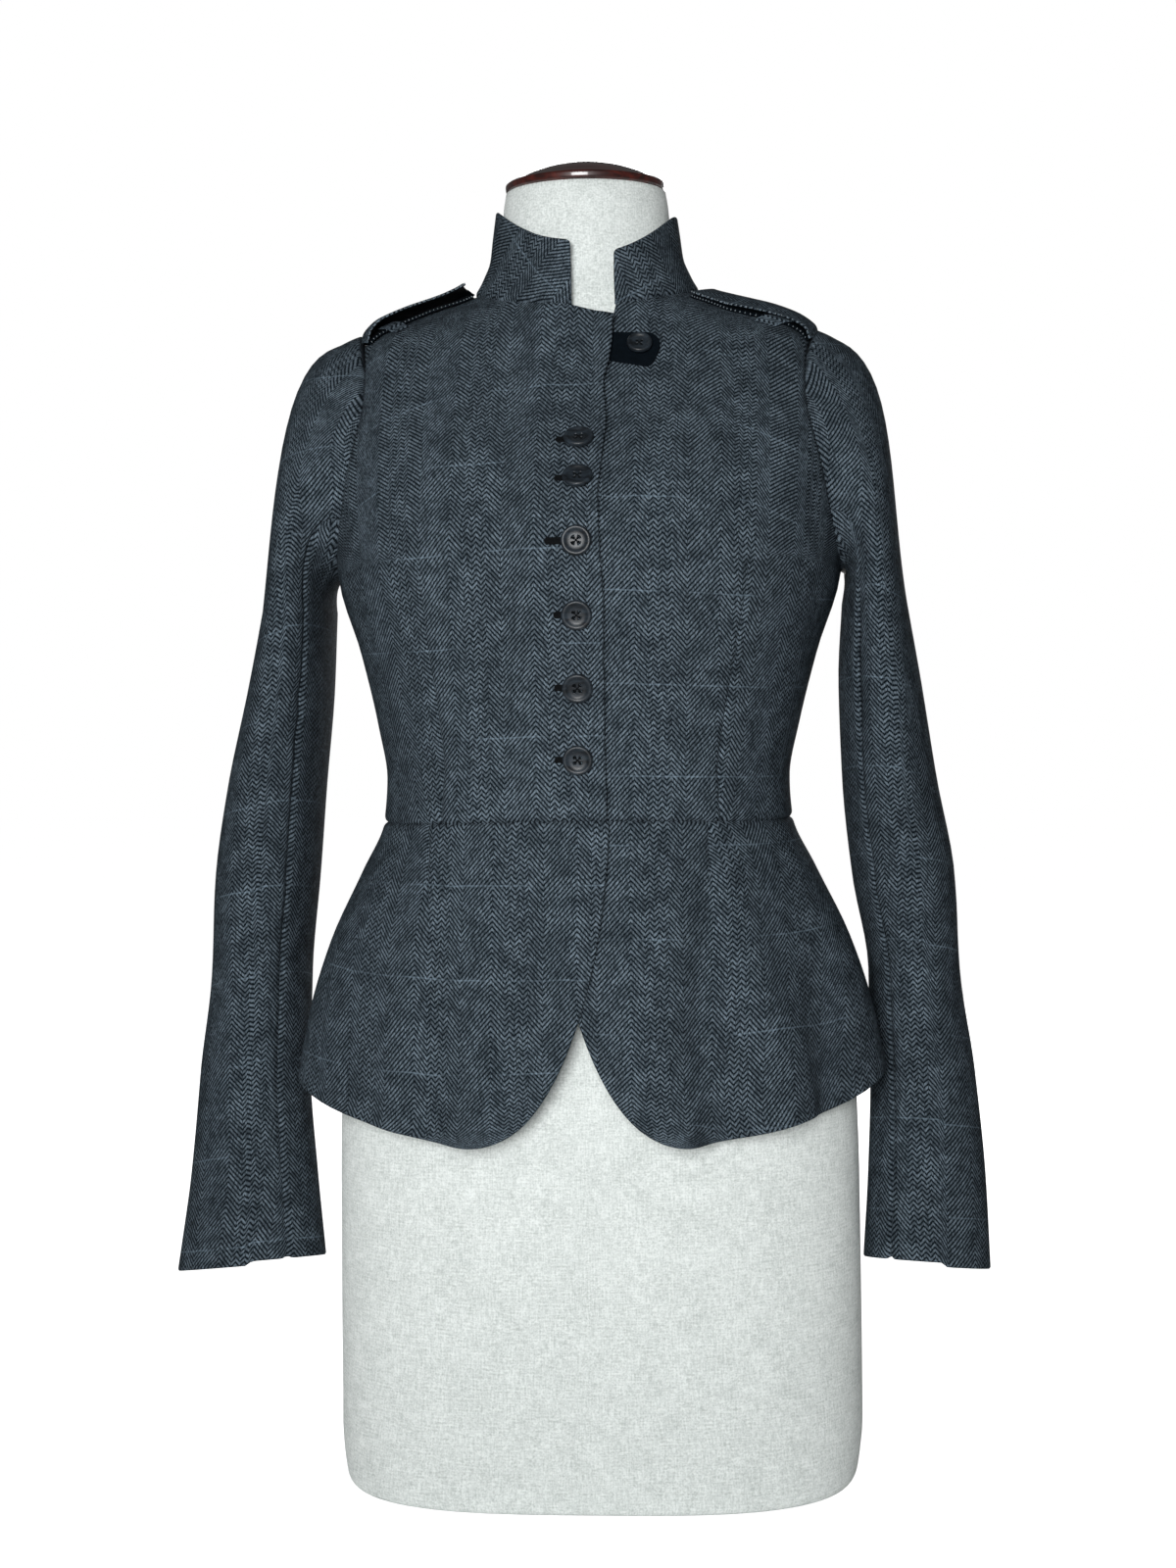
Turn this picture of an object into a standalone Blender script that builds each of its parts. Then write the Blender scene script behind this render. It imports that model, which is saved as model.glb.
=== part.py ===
"""Women's peplum jacket in herringbone wool, buttoned up on a limbless linen dress form.

Metres, +Z up. The front of the jacket faces -Y and the wearer's left is +X. The origin is the middle of
the form's flat underside. Every body panel is a patch of one surface, the skin, which is laid through
the rings below; a place on it is an angle round the body (0 at the centre front, 90 degrees at the
wearer's left side) and a level counted in rings from the hem.
"""

import math
from collections import namedtuple

import bmesh
import bpy
import numpy as np
from mathutils import Matrix, Vector

CLOTH = 0.0020  # wool with its lining
BAND_CLOTH = 0.0024  # collar, made double
STRAP_CLOTH = 0.0018
TAB_CLOTH = 0.0012
SEAM_GAP = 0.0003
WAIST_RING_STEP = 0.030  # height of one level of the skin at the waist seam and at the neck seam
NECK_RING_STEP = 0.010
SHOULDER_RING_STEP = 0.015  # and between the shoulder and the neck, down the front
COLLAR_RING_STEP = 0.016  # and at the top of the collar
FRONT_EXTENSION = 0.0185  # how far each front reaches past the centre line
OVERLAP_LIFT = 0.0026  # the wearer's right front lies on the left one
NECK_LIFT = 0.0016  # and stands further off it where the neck tab passes between
LIFT_RAMP = 0.022
SHOULDER_SLOPE = 0.7  # how much sooner the shoulders drop away from the shoulder seam than the body does
CLOSURE_SHIFT = 0.0014  # the line of buttons lies this far to the wearer's left of the middle
BODY_LEAN = 0.0042  # the jacket hangs this far to the wearer's right of the form's middle from the waist down
NECK_DIP = 0.006  # the front edge ends lower than the collar seam
NECK_DIP_SPAN = (-0.0190, 0.0080)  # distances from the centre between which it dips
COLLAR_END_RIGHT = -0.0065  # distances from the centre front
COLLAR_END_LEFT = 0.0200
COLLAR_SIDE_DROP = 0.0050  # the collar's top edge is lower on the wearer's left
COLLAR_END_DROP = 0.0097  # and lowest at its left end
FORM_CLEARANCE = 0.0032
SLEEVE_COLUMNS = 28
FRONT_SLEEVE_SEAM = 10  # columns counted from the outer side of the arm towards the front
BACK_SLEEVE_SEAM = 18
CUFF_SLANT = {"left": 0.0026, "right": 0.0040}  # the cuff is lower on its outer side
CUFF_TILT = 0.0085  # and higher in front, square to the bent forearm
EDGE_DROP_POWER = 1.65  # how the peplum's front edges curve away from the centre
EDGE_RUN_POWER = 2.4
CORNER_ANGLE = 32.0
BUTTON_RADIUS = 0.0093
BUTTON_HEIGHT = 0.0034
NECK_BUTTON_SCALE = 0.86

# One row for each ring of the skin: heights where it crosses the side, the front and the back, the half
# width, the depths to front and back, and how square its front and back halves are (2 is an ellipse).
Ring = namedtuple(
    "Ring", "name side_z front_z back_z half_width front_depth back_depth front_square back_square"
)
RINGS = (
    Ring("hem", 0.262, 0.223, 0.246, 0.188, 0.136, 0.150, 2.2, 2.2),
    Ring("peplum_low", 0.303, 0.279, 0.292, 0.180, 0.131, 0.141, 2.2, 2.2),
    Ring("peplum_middle", 0.344, 0.333, 0.338, 0.167, 0.123, 0.129, 2.2, 2.2),
    Ring("peplum_high", 0.386, 0.383, 0.383, 0.147, 0.113, 0.112, 2.2, 2.2),
    Ring("waist", 0.419, 0.4235, 0.419, 0.132, 0.106, 0.098, 2.2, 2.2),
    Ring("rib_low", 0.447, 0.453, 0.446, 0.130, 0.108, 0.097, 2.2, 2.2),
    Ring("rib", 0.482, 0.491, 0.480, 0.136, 0.115, 0.101, 2.3, 2.25),
    Ring("rib_high", 0.528, 0.542, 0.526, 0.147, 0.129, 0.107, 2.4, 2.3),
    Ring("underarm", 0.577, 0.594, 0.577, 0.1615, 0.137, 0.111, 2.5, 2.4),
    Ring("chest", 0.640, 0.640, 0.640, 0.166, 0.120, 0.110, 2.5, 2.5),
    Ring("chest_high", 0.690, 0.682, 0.696, 0.162, 0.091, 0.098, 2.4, 2.5),
    Ring("shoulder_tip", 0.729, 0.712, 0.738, 0.145, 0.074, 0.080, 2.2, 2.2),
    Ring("shoulder", 0.747, 0.730, 0.759, 0.109, 0.067, 0.067, 2.1, 2.1),
    Ring("neck", 0.760, 0.745, 0.774, 0.0735, 0.0625, 0.056, 2.0, 2.0),
    Ring("collar_foot", 0.773, 0.754, 0.787, 0.0655, 0.0615, 0.052, 2.0, 2.0),
    Ring("collar_low", 0.782, 0.762, 0.797, 0.0620, 0.0615, 0.050, 2.0, 2.0),
    Ring("collar_middle", 0.797, 0.772, 0.810, 0.0600, 0.0620, 0.049, 2.0, 2.0),
    Ring("collar_top", 0.815, 0.786, 0.827, 0.0575, 0.0632, 0.048, 2.0, 2.0),
)
LEVEL = {ring.name: float(number) for number, ring in enumerate(RINGS)}

# Flutes of the peplum at its hem: angle and half width in degrees, and how far it stands out (+) or in (-).
Fold = namedtuple("Fold", "angle half_width depth")
FOLDS = (
    Fold(-101, 17, -0.010),
    Fold(-74, 13, 0.005),
    Fold(-55, 10, -0.004),
    Fold(-38, 11, -0.005),
    Fold(-24, 12, 0.003),
    Fold(22, 12, 0.005),
    Fold(36, 10, -0.009),
    Fold(49, 11, 0.008),
    Fold(63, 9, -0.009),
    Fold(78, 12, 0.005),
    Fold(101, 17, -0.010),
    Fold(124, 15, 0.007),
    Fold(143, 13, -0.007),
    Fold(162, 14, 0.006),
    Fold(180, 11, -0.004),
    Fold(198, 14, 0.006),
    Fold(217, 13, -0.007),
    Fold(236, 15, 0.007),
)

# Sections of the bare part of the dress form, below the jacket's waist.
Section = namedtuple("Section", "height half_width front_depth back_depth square")
FORM_SECTIONS = (
    Section(0.0, 0.1575, 0.1080, 0.1100, 3.2),
    Section(0.0015, 0.1607, 0.1112, 0.1135, 3.2),
    Section(0.005, 0.1635, 0.1135, 0.1165, 3.2),
    Section(0.014, 0.1655, 0.1142, 0.1190, 3.1),
    Section(0.035, 0.1678, 0.1130, 0.1205, 2.9),
    Section(0.060, 0.1680, 0.1110, 0.1208, 2.8),
    Section(0.110, 0.1682, 0.1085, 0.1210, 2.7),
    Section(0.180, 0.1682, 0.1080, 0.1220, 2.5),
    Section(0.240, 0.1672, 0.1080, 0.1220, 2.4),
    Section(0.300, 0.1600, 0.106, 0.115, 2.3),
    Section(0.350, 0.1430, 0.103, 0.102, 2.2),
    Section(0.390, 0.1300, 0.101, 0.094, 2.2),
)
FORM_NECK = (
    Section(0.806, 0.0545, 0.0565, 0.0435, 2.0),
    Section(0.817, 0.0535, 0.0560, 0.0430, 2.0),
    Section(0.826, 0.0520, 0.0545, 0.0415, 2.0),
)
NECK_CAP = (
    Section(0.8263, 0.0495, 0.0520, 0.0390, 2.0),
    Section(0.8280, 0.0520, 0.0545, 0.0415, 2.0),
    Section(0.8310, 0.0523, 0.0548, 0.0418, 2.0),
    Section(0.8339, 0.0471, 0.0493, 0.0376, 2.0),
    Section(0.8376, 0.0392, 0.0411, 0.0314, 2.0),
    Section(0.8415, 0.0288, 0.0301, 0.0230, 2.0),
    Section(0.8447, 0.0157, 0.0164, 0.0125, 2.0),
    Section(0.8459, 0.0052, 0.0055, 0.0042, 2.0),
)

# Sections of each hanging sleeve from the cuff up: inner and outer edge seen from the front, and its
# place and half size from front to back.
SleeveRow = namedtuple("SleeveRow", "height inner outer middle_y half_depth")
SLEEVE_ROWS = {
    "left": (
        SleeveRow(0.130, 0.1712, 0.2510, 0.002, 0.041),
        SleeveRow(0.186, 0.1755, 0.2495, 0.014, 0.043),
        SleeveRow(0.250, 0.1785, 0.2450, 0.032, 0.047),
        SleeveRow(0.314, 0.1785, 0.2365, 0.036, 0.052),
        SleeveRow(0.378, 0.1685, 0.2335, 0.030, 0.056),
        SleeveRow(0.442, 0.1625, 0.2220, 0.019, 0.061),
        SleeveRow(0.506, 0.1608, 0.2120, 0.009, 0.066),
        SleeveRow(0.556, 0.1636, 0.2035, 0.004, 0.070),
    ),
    "right": (
        SleeveRow(0.129, 0.1835, 0.2795, 0.002, 0.041),
        SleeveRow(0.186, 0.1908, 0.2720, 0.014, 0.043),
        SleeveRow(0.250, 0.1977, 0.2682, 0.030, 0.047),
        SleeveRow(0.314, 0.1965, 0.2600, 0.034, 0.052),
        SleeveRow(0.378, 0.1897, 0.2555, 0.030, 0.056),
        SleeveRow(0.442, 0.1825, 0.2430, 0.019, 0.061),
        SleeveRow(0.506, 0.1752, 0.2255, 0.009, 0.066),
        SleeveRow(0.556, 0.1727, 0.2130, 0.004, 0.070),
    ),
}
ARMHOLE_FRONT = 18.0  # degrees that the armhole cuts into the front and the back
ARMHOLE_BACK = 20.0
TUBE_ROWS = 8
CAP_ROWS = 6
CAP_FULLNESS = {"left": 0.35, "right": 0.31}  # how far the sleeve head stands out, against its rise
CAP_LIFT = {"left": 0.0, "right": 0.08}  # and up

# Heights of the buttons down the front.
BUTTON_HEIGHTS = {
    "button_1": 0.654,
    "button_2": 0.630,
    "button_3": 0.5935,
    "button_4": 0.550,
    "button_5": 0.5065,
    "button_6": 0.462,
}
TAB_LEVEL = 11.1
TAB_HALF_HEIGHT = 0.0095
TAB_START = 0.008  # distances from the centre front
TAB_END = 0.0460
NECK_BUTTON_AT = 0.0345

# Straps of each epaulette: level of the outer end, how many levels short of the neck the other end stops,
# half width, and how far the strap stands off the shoulder.
Strap = namedtuple("Strap", "name start short half_width lift")
BASE_STRAP = Strap("epaulette_base", 11.08, 0.06, 0.0195, 0.0031)
UPPER_STRAP = Strap("epaulette", 11.06, 0.0, 0.0185, 0.0054)
STRAP_BULGE = 0.0016  # the upper strap rises this much over the loop
# How the straps of each shoulder lie: degrees forward of the shoulder seam, level of the neck end, and how
# much further the upper strap's back edge, front edge and neck end stand off.
StrapLie = namedtuple("StrapLie", "turn end back_rise front_rise end_rise")
STRAP_LIES = {
    "left": StrapLie(9.0, 12.72, 0.0012, 0.0, 0.0),
    "right": StrapLie(4.0, 12.92, 0.0, 0.0042, 0.0030),
}
LOOP_LEVELS = (11.27, 11.515)
LOOP_CLOTH = 0.0012
LOOP_HALF_WIDTH = 0.0245

COLOURS = {
    "wool": (0.055, 0.075, 0.092, 1.0),
    "ribbon": (0.006, 0.009, 0.014, 1.0),
    "linen": (0.70, 0.74, 0.73, 1.0),
    "wood": (0.10, 0.02, 0.012, 1.0),
    "horn": (0.035, 0.035, 0.038, 1.0),
}


def smooth(low, high, value):
    """0 below the low value and 1 above the high one, with an eased way between."""
    t = min(max((value - low) / (high - low), 0.0), 1.0)
    return t * t * (3.0 - 2.0 * t)


def eased(values, place):
    """A curve through evenly spaced values that doesn't swing past them, read at a place between them."""
    steps = np.diff(values)
    slopes = np.zeros(len(values))
    same_way = steps[:-1] * steps[1:] > 0.0
    total = np.where(same_way, steps[:-1] + steps[1:], 1.0)
    slopes[1:-1] = np.where(same_way, 2.0 * steps[:-1] * steps[1:] / total, 0.0)
    slopes[0] = steps[0]
    slopes[-1] = steps[-1]
    first = int(min(max(math.floor(place), 0), len(values) - 2))
    t = place - first
    start = (1.0 + 2.0 * t) * (1.0 - t) ** 2 * values[first] + t * (1.0 - t) ** 2 * slopes[first]
    end = t * t * (3.0 - 2.0 * t) * values[first + 1] + t * t * (t - 1.0) * slopes[first + 1]
    return start + end


RING_COLUMNS = np.array([ring[1:] for ring in RINGS]).T


def ring_at(level):
    """The ring at any level, also between two rows of the table."""
    return Ring("between", *(eased(column, level) for column in RING_COLUMNS))


def polar_radius(angle, half_width, depth, square):
    """Distance from the middle to an oval of this half width and depth."""
    across = abs(math.sin(angle)) / half_width
    along = abs(math.cos(angle)) / depth
    return (across**square + along**square) ** (-1.0 / square)


def fold_depth(angle, level):
    """How far the flutes move the peplum in or out at this place."""
    if level >= LEVEL["waist"]:
        return 0.0
    drop = 1.0 - level / LEVEL["waist"]
    turned = math.degrees(angle)
    total = 0.0
    for fold in FOLDS:
        away = (turned - fold.angle + 180.0) % 360.0 - 180.0
        if abs(away) < fold.half_width:
            total += fold.depth * 0.5 * (1.0 + math.cos(math.pi * away / fold.half_width))
    return total * drop**1.3


def skin(angle, level):
    """The point of the body surface at this angle and level.

    Its height goes by how far out it lies to the side, so that the flutes leave the hem an even line.
    """
    ring = ring_at(level)
    facing = math.cos(angle)
    front = facing > 0.0
    depth = ring.front_depth if front else ring.back_depth
    square = ring.front_square if front else ring.back_square
    radius = polar_radius(angle, ring.half_width, depth, square)
    flute = fold_depth(angle, level)
    slide = flute * math.sin(angle) / (radius * max(abs(facing), 0.25))
    sideways = angle + slide if front else angle - slide
    shoulder = smooth(9.5, 11.0, level) * (1.0 - smooth(12.6, 13.6, level))
    flatness = 1.0 + min(level / LEVEL["waist"], 1.0) - SHOULDER_SLOPE * shoulder
    blend = abs(math.cos(sideways)) ** flatness
    height = ring.side_z + ((ring.front_z if front else ring.back_z) - ring.side_z) * blend
    radius += flute
    lean = -BODY_LEAN * (1.0 - smooth(LEVEL["waist"], LEVEL["chest"], level))
    return Vector((radius * math.sin(angle) + lean, -radius * facing, height))


def skin_normal(angle, level):
    """The outward direction of the body surface."""
    step = 0.01
    low = max(level - step, 0.0)
    high = min(level + step, len(RINGS) - 1.0)
    around = skin(angle + step, level) - skin(angle - step, level)
    upward = skin(angle, high) - skin(angle, low)
    return around.cross(upward).normalized()


def off_skin(angle, level, lift):
    """A point this far out from the body surface."""
    return skin(angle, level) + skin_normal(angle, level) * lift


def front_angle(distance, level):
    """The angle of a point of the front at this distance from the line of buttons."""
    return (distance + CLOSURE_SHIFT) / ring_at(level).front_depth


def front_level(height):
    """The level at which the centre front has this height."""
    low = 0.0
    high = LEVEL["collar_top"]
    for _ in range(40):
        middle = 0.5 * (low + high)
        if ring_at(middle).front_z < height:
            low = middle
        else:
            high = middle
    return 0.5 * (low + high)


def right_front_lift(angle, level):
    """How far the wearer's right front stands off the skin, so that it clears the left front."""
    distance = angle * ring_at(level).front_depth - CLOSURE_SHIFT
    near_middle = smooth(-FRONT_EXTENSION - LIFT_RAMP, -FRONT_EXTENSION - 0.002, distance)
    return near_middle * (OVERLAP_LIFT + NECK_LIFT * smooth(9.3, 10.6, level))


def armhole(share, back):
    """Angle and level of the armhole edge: share 0 at the underarm and 1 at the shoulder tip."""
    reach = ARMHOLE_BACK if back else -ARMHOLE_FRONT
    angle = math.radians(90.0 + reach * math.sin(math.pi * share) ** 0.75)
    rise = 0.5 * (1.0 - math.cos(math.pi * share))
    level = LEVEL["underarm"] + (LEVEL["shoulder_tip"] - LEVEL["underarm"]) * rise
    return angle, level


def bodice_rows(back):
    """(level, angle of the outer edge) of each row of a bodice panel, on the wearer's left side."""
    half_column = SLEEVE_COLUMNS // 2
    rows = []
    for step in range(5):
        rows.append((LEVEL["waist"] + (LEVEL["underarm"] - LEVEL["waist"]) * step / 5, math.pi / 2))
    for step in range(half_column + 1):
        angle, level = armhole(step / half_column, back)
        rows.append((level, angle))
    for step in range(1, 4):
        rows.append((LEVEL["shoulder_tip"] + (LEVEL["neck"] - LEVEL["shoulder_tip"]) * step / 3, math.pi / 2))
    return rows


def add_material(name, colour):
    """A plain Principled material of this colour."""
    material = bpy.data.materials.new(name)
    material.use_nodes = True
    material.node_tree.nodes["Principled BSDF"].inputs["Base Color"].default_value = COLOURS[colour]
    return material


def add_object(name, mesh_builder, colour):
    """Turns a finished bmesh into an object with its own material."""
    bmesh.ops.recalc_face_normals(mesh_builder, faces=mesh_builder.faces)
    if mesh_builder.calc_volume(signed=True) < 0.0:
        bmesh.ops.reverse_faces(mesh_builder, faces=mesh_builder.faces)
    mesh = bpy.data.meshes.new(name)
    mesh_builder.to_mesh(mesh)
    mesh_builder.free()
    mesh.materials.append(add_material(name + "_" + colour, colour))
    item = bpy.data.objects.new(name, mesh)
    bpy.context.scene.collection.objects.link(item)
    return item


def add_wall(name, columns, rows, place, colour="wool"):
    """A closed sheet of cloth: a grid and its extruded copy, whose corners place(column, row, face) moves.

    The face is -1 on the inside of the cloth and +1 on its outside.
    """
    sheet = bmesh.new()
    bmesh.ops.create_grid(sheet, x_segments=columns, y_segments=rows, size=0.5)
    grown = bmesh.ops.extrude_face_region(sheet, geom=sheet.faces[:])
    copies = [item for item in grown["geom"] if isinstance(item, bmesh.types.BMVert)]
    bmesh.ops.translate(sheet, verts=copies, vec=(0.0, 0.0, 1.0))
    for vert in sheet.verts:
        column = round((vert.co.x + 0.5) * columns)
        row = round((vert.co.y + 0.5) * rows)
        vert.co = place(column, row, 1.0 if vert.co.z > 0.5 else -1.0)
    return add_object(name, sheet, colour)


def add_loft(name, sides, levels, place, colour):
    """A closed solid drawn up from an oval face level by level; place(angle, level) gives its corners."""
    solid = bmesh.new()
    bmesh.ops.create_circle(solid, cap_ends=True, segments=sides, radius=1.0)
    rim = solid.edges[:]
    for _ in range(levels - 1):
        grown = bmesh.ops.extrude_edge_only(solid, edges=rim)["geom"]
        corners = [item for item in grown if isinstance(item, bmesh.types.BMVert)]
        bmesh.ops.translate(solid, verts=corners, vec=(0.0, 0.0, 1.0))
        rim = [item for item in grown if isinstance(item, bmesh.types.BMEdge) and item.is_boundary]
    bmesh.ops.edgeloop_fill(solid, edges=rim)
    for vert in solid.verts:
        vert.co = place(math.atan2(vert.co.x, -vert.co.y), round(vert.co.z))
    return add_object(name, solid, colour)


def section_point(section, angle):
    """The point of a level oval section at this angle."""
    depth = section.front_depth if math.cos(angle) > 0.0 else section.back_depth
    radius = polar_radius(angle, section.half_width, depth, section.square)
    return Vector((radius * math.sin(angle), -radius * math.cos(angle), section.height))


def add_dress_form():
    """The padded torso, closed below and above, and the turned cap on its neck."""
    first = LEVEL["waist"] + 0.1
    last = LEVEL["collar_middle"]
    covered = [first + (last - first) * step / 16 for step in range(17)]
    inset = -0.5 * BAND_CLOTH - FORM_CLEARANCE
    bare = len(FORM_SECTIONS)

    def body(angle, level):
        if level < bare:
            return section_point(FORM_SECTIONS[level], angle)
        if level < bare + len(covered):
            return off_skin(angle, covered[level - bare], inset)
        return section_point(FORM_NECK[level - bare - len(covered)], angle)

    add_loft("dress_form", 34, bare + len(covered) + len(FORM_NECK), body, "linen")

    def cap(angle, level):
        return section_point(NECK_CAP[level], angle)

    add_loft("form_neck_cap", 32, len(NECK_CAP), cap, "wood")


def seam_turn(level):
    """Half of a seam's gap, as an angle round the body."""
    return 0.5 * SEAM_GAP / ring_at(level).half_width


def clear_of_seams(level, row, last):
    """Moves the first and last row of a panel half a seam gap away from the panel beyond it."""
    if row == 0:
        return level + 0.5 * SEAM_GAP / WAIST_RING_STEP
    if row == last:
        return level - 0.5 * SEAM_GAP / NECK_RING_STEP
    return level


def add_bodice_front(side):
    """One front of the bodice, from its free edge to the side seam, the armhole and the shoulder seam."""
    sign = 1.0 if side == "left" else -1.0
    rows = bodice_rows(False)
    columns = 12

    def place(column, row, face):
        level, outer = rows[row]
        inner = sign * front_angle(-sign * FRONT_EXTENSION, level)
        angle = inner + (outer - seam_turn(level) - inner) * column / columns
        level = clear_of_seams(level, row, len(rows) - 1)
        if side == "right":
            low, high = NECK_DIP_SPAN
            edge = min(max((high - angle * ring_at(level).front_depth) / (high - low), 0.0), 1.0)
            level -= edge * NECK_DIP / SHOULDER_RING_STEP * smooth(12.0, 13.0, level)
        lift = right_front_lift(sign * angle, level) if side == "right" else 0.0
        return off_skin(sign * angle, level, lift + 0.5 * CLOTH * face)

    add_wall("bodice_front_" + side, columns, len(rows) - 1, place)


def add_bodice_back(side):
    """One half of the bodice back, from the centre back seam to the side seam, armhole and shoulder."""
    sign = 1.0 if side == "left" else -1.0
    rows = bodice_rows(True)
    columns = 9

    def place(column, row, face):
        level, outer = rows[row]
        inner = math.pi - seam_turn(level)
        angle = inner + (outer + seam_turn(level) - inner) * column / columns
        level = clear_of_seams(level, row, len(rows) - 1)
        return off_skin(sign * angle, level, 0.5 * CLOTH * face)

    add_wall("bodice_back_" + side, columns, len(rows) - 1, place)


def peplum_edge(share, sign):
    """Level and angle of the cut-away front edge, from the waist seam (share 0) round into the hem (1)."""
    turn = 0.5 * math.pi * share
    level = LEVEL["waist"] * (1.0 - math.sin(turn) ** (2.0 / EDGE_DROP_POWER))
    start = sign * front_angle(-sign * FRONT_EXTENSION, LEVEL["waist"])
    run = 1.0 - math.cos(turn) ** (2.0 / EDGE_RUN_POWER)
    return level, start + run * (math.radians(CORNER_ANGLE) - start)


def add_peplum_front(side):
    """One front of the peplum with its rounded lower corner."""
    sign = 1.0 if side == "left" else -1.0
    columns = 16
    row_count = 9

    def place(column, row, face):
        level, inner = peplum_edge(row / row_count, sign)
        angle = inner + (math.pi / 2 - seam_turn(level) - inner) * column / columns
        if row == 0:
            level -= 0.5 * SEAM_GAP / WAIST_RING_STEP
        lift = right_front_lift(sign * angle, level) if side == "right" else 0.0
        return off_skin(sign * angle, level, lift + 0.5 * CLOTH * face)

    add_wall("peplum_front_" + side, columns, row_count, place)


def add_peplum_back(side):
    """One half of the peplum's back."""
    sign = 1.0 if side == "left" else -1.0
    columns = 16
    row_count = 8

    def place(column, row, face):
        level = LEVEL["waist"] * (1.0 - row / row_count)
        inner = math.pi - seam_turn(level)
        angle = inner + (math.pi / 2 + seam_turn(level) - inner) * column / columns
        if row == 0:
            level -= 0.5 * SEAM_GAP / WAIST_RING_STEP
        return off_skin(sign * angle, level, 0.5 * CLOTH * face)

    add_wall("peplum_back_" + side, columns, row_count, place)


def collar_height(angle):
    """Level of the collar's top edge, which drops on the wearer's left towards the front."""
    turned = math.degrees(angle)
    drop = COLLAR_SIDE_DROP * (1.0 - smooth(90.0, 180.0, turned))
    drop += (COLLAR_END_DROP - COLLAR_SIDE_DROP) * (1.0 - smooth(18.0, 90.0, turned))
    return LEVEL["collar_top"] - drop / COLLAR_RING_STEP


def add_collar():
    """The standing collar: one band round the neck whose ends stop short of each other in front."""
    columns = 34
    row_count = 5

    def place(column, row, face):
        start = front_angle(COLLAR_END_LEFT, LEVEL["collar_low"])
        end = 2.0 * math.pi + front_angle(COLLAR_END_RIGHT, LEVEL["collar_low"])
        angle = start + (end - start) * column / columns
        level = LEVEL["neck"] + (collar_height(angle) - LEVEL["neck"]) * row / row_count
        if row == 0:
            level += 0.5 * SEAM_GAP / NECK_RING_STEP
        lift = right_front_lift(angle - 2.0 * math.pi, level) if angle > math.pi else 0.0
        return off_skin(angle, level, lift + 0.5 * BAND_CLOTH * face)

    add_wall("collar", columns, row_count, place)


def sleeve_points(side):
    """Middle surface and outward directions of a sleeve: rows from the cuff up, columns round the arm."""
    sign = 1.0 if side == "left" else -1.0
    table = SLEEVE_ROWS[side]
    columns = np.array(table).T
    points = np.zeros((TUBE_ROWS + CAP_ROWS + 1, SLEEVE_COLUMNS, 3))
    ends = np.zeros((SLEEVE_COLUMNS, 3))
    for column in range(SLEEVE_COLUMNS):
        turn = 2.0 * math.pi * column / SLEEVE_COLUMNS
        for row in range(TUBE_ROWS + 1):
            place = (len(table) - 1) * row / TUBE_ROWS
            section = SleeveRow(*(eased(values, place) for values in columns))
            middle = 0.5 * (section.inner + section.outer)
            half_width = 0.5 * (section.outer - section.inner)
            drop = CUFF_SLANT[side] * math.cos(turn) - CUFF_TILT * math.sin(turn)
            drop *= 1.0 - smooth(table[0].height, 0.205, section.height)
            points[row, column] = (
                sign * (middle + half_width * math.cos(turn)),
                section.middle_y - section.half_depth * math.sin(turn),
                section.height - drop,
            )
        half = SLEEVE_COLUMNS // 2
        share = 1.0 - column / half if column <= half else (column - half) / half
        angle, level = armhole(share, column > half)
        ends[column] = skin_normal(sign * angle, level)
        seam = np.array(skin(sign * angle, level) + Vector((sign * 2.0 * SEAM_GAP, 0.0, 0.0)))
        foot = points[TUBE_ROWS, column]
        rise = float(np.linalg.norm(seam - foot))
        from_foot = foot + np.array((-sign * 0.07 * math.cos(turn) * rise, 0.0, 0.45 * rise))
        from_seam = seam + np.array((sign * CAP_FULLNESS[side] * rise, 0.0, CAP_LIFT[side] * rise))
        for row in range(1, CAP_ROWS + 1):
            t = row / CAP_ROWS
            points[TUBE_ROWS + row, column] = (
                (1.0 - t) ** 3 * foot
                + 3.0 * t * (1.0 - t) ** 2 * from_foot
                + 3.0 * t * t * (1.0 - t) * from_seam
                + t**3 * seam
            )
    around = np.roll(points, -1, axis=1) - np.roll(points, 1, axis=1)
    upward = np.gradient(points, axis=0)
    normals = np.cross(upward, around) * sign
    normals /= np.linalg.norm(normals, axis=2, keepdims=True)
    for row, share in ((-3, 0.35), (-2, 0.7), (-1, 1.0)):
        normals[row] += share * (ends - normals[row])
    normals /= np.linalg.norm(normals, axis=2, keepdims=True)
    return points, normals


def add_sleeve(side):
    """The two pieces of a sleeve, joined by seams down the front and the back of the arm."""
    points, normals = sleeve_points(side)
    rows = TUBE_ROWS + CAP_ROWS
    spans = {
        "sleeve_upper_": (BACK_SLEEVE_SEAM - SLEEVE_COLUMNS, FRONT_SLEEVE_SEAM),
        "sleeve_under_": (FRONT_SLEEVE_SEAM, BACK_SLEEVE_SEAM),
    }
    for name, (first, last) in spans.items():

        def place(column, row, face, first=first, last=last):
            number = (first + column) % SLEEVE_COLUMNS
            point = Vector(points[row, number])
            beside = None
            if column == 0:
                beside = Vector(points[row, (number + 1) % SLEEVE_COLUMNS])
            elif column == last - first:
                beside = Vector(points[row, number - 1])
            if beside is not None:
                gap = SEAM_GAP * (1.0 + 3.0 * smooth(TUBE_ROWS, TUBE_ROWS + 2, row))
                point += (beside - point).normalized() * 0.5 * gap
            return point + Vector(normals[row, number]) * 0.5 * CLOTH * face

        add_wall(name + side, last - first, rows, place)


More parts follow.
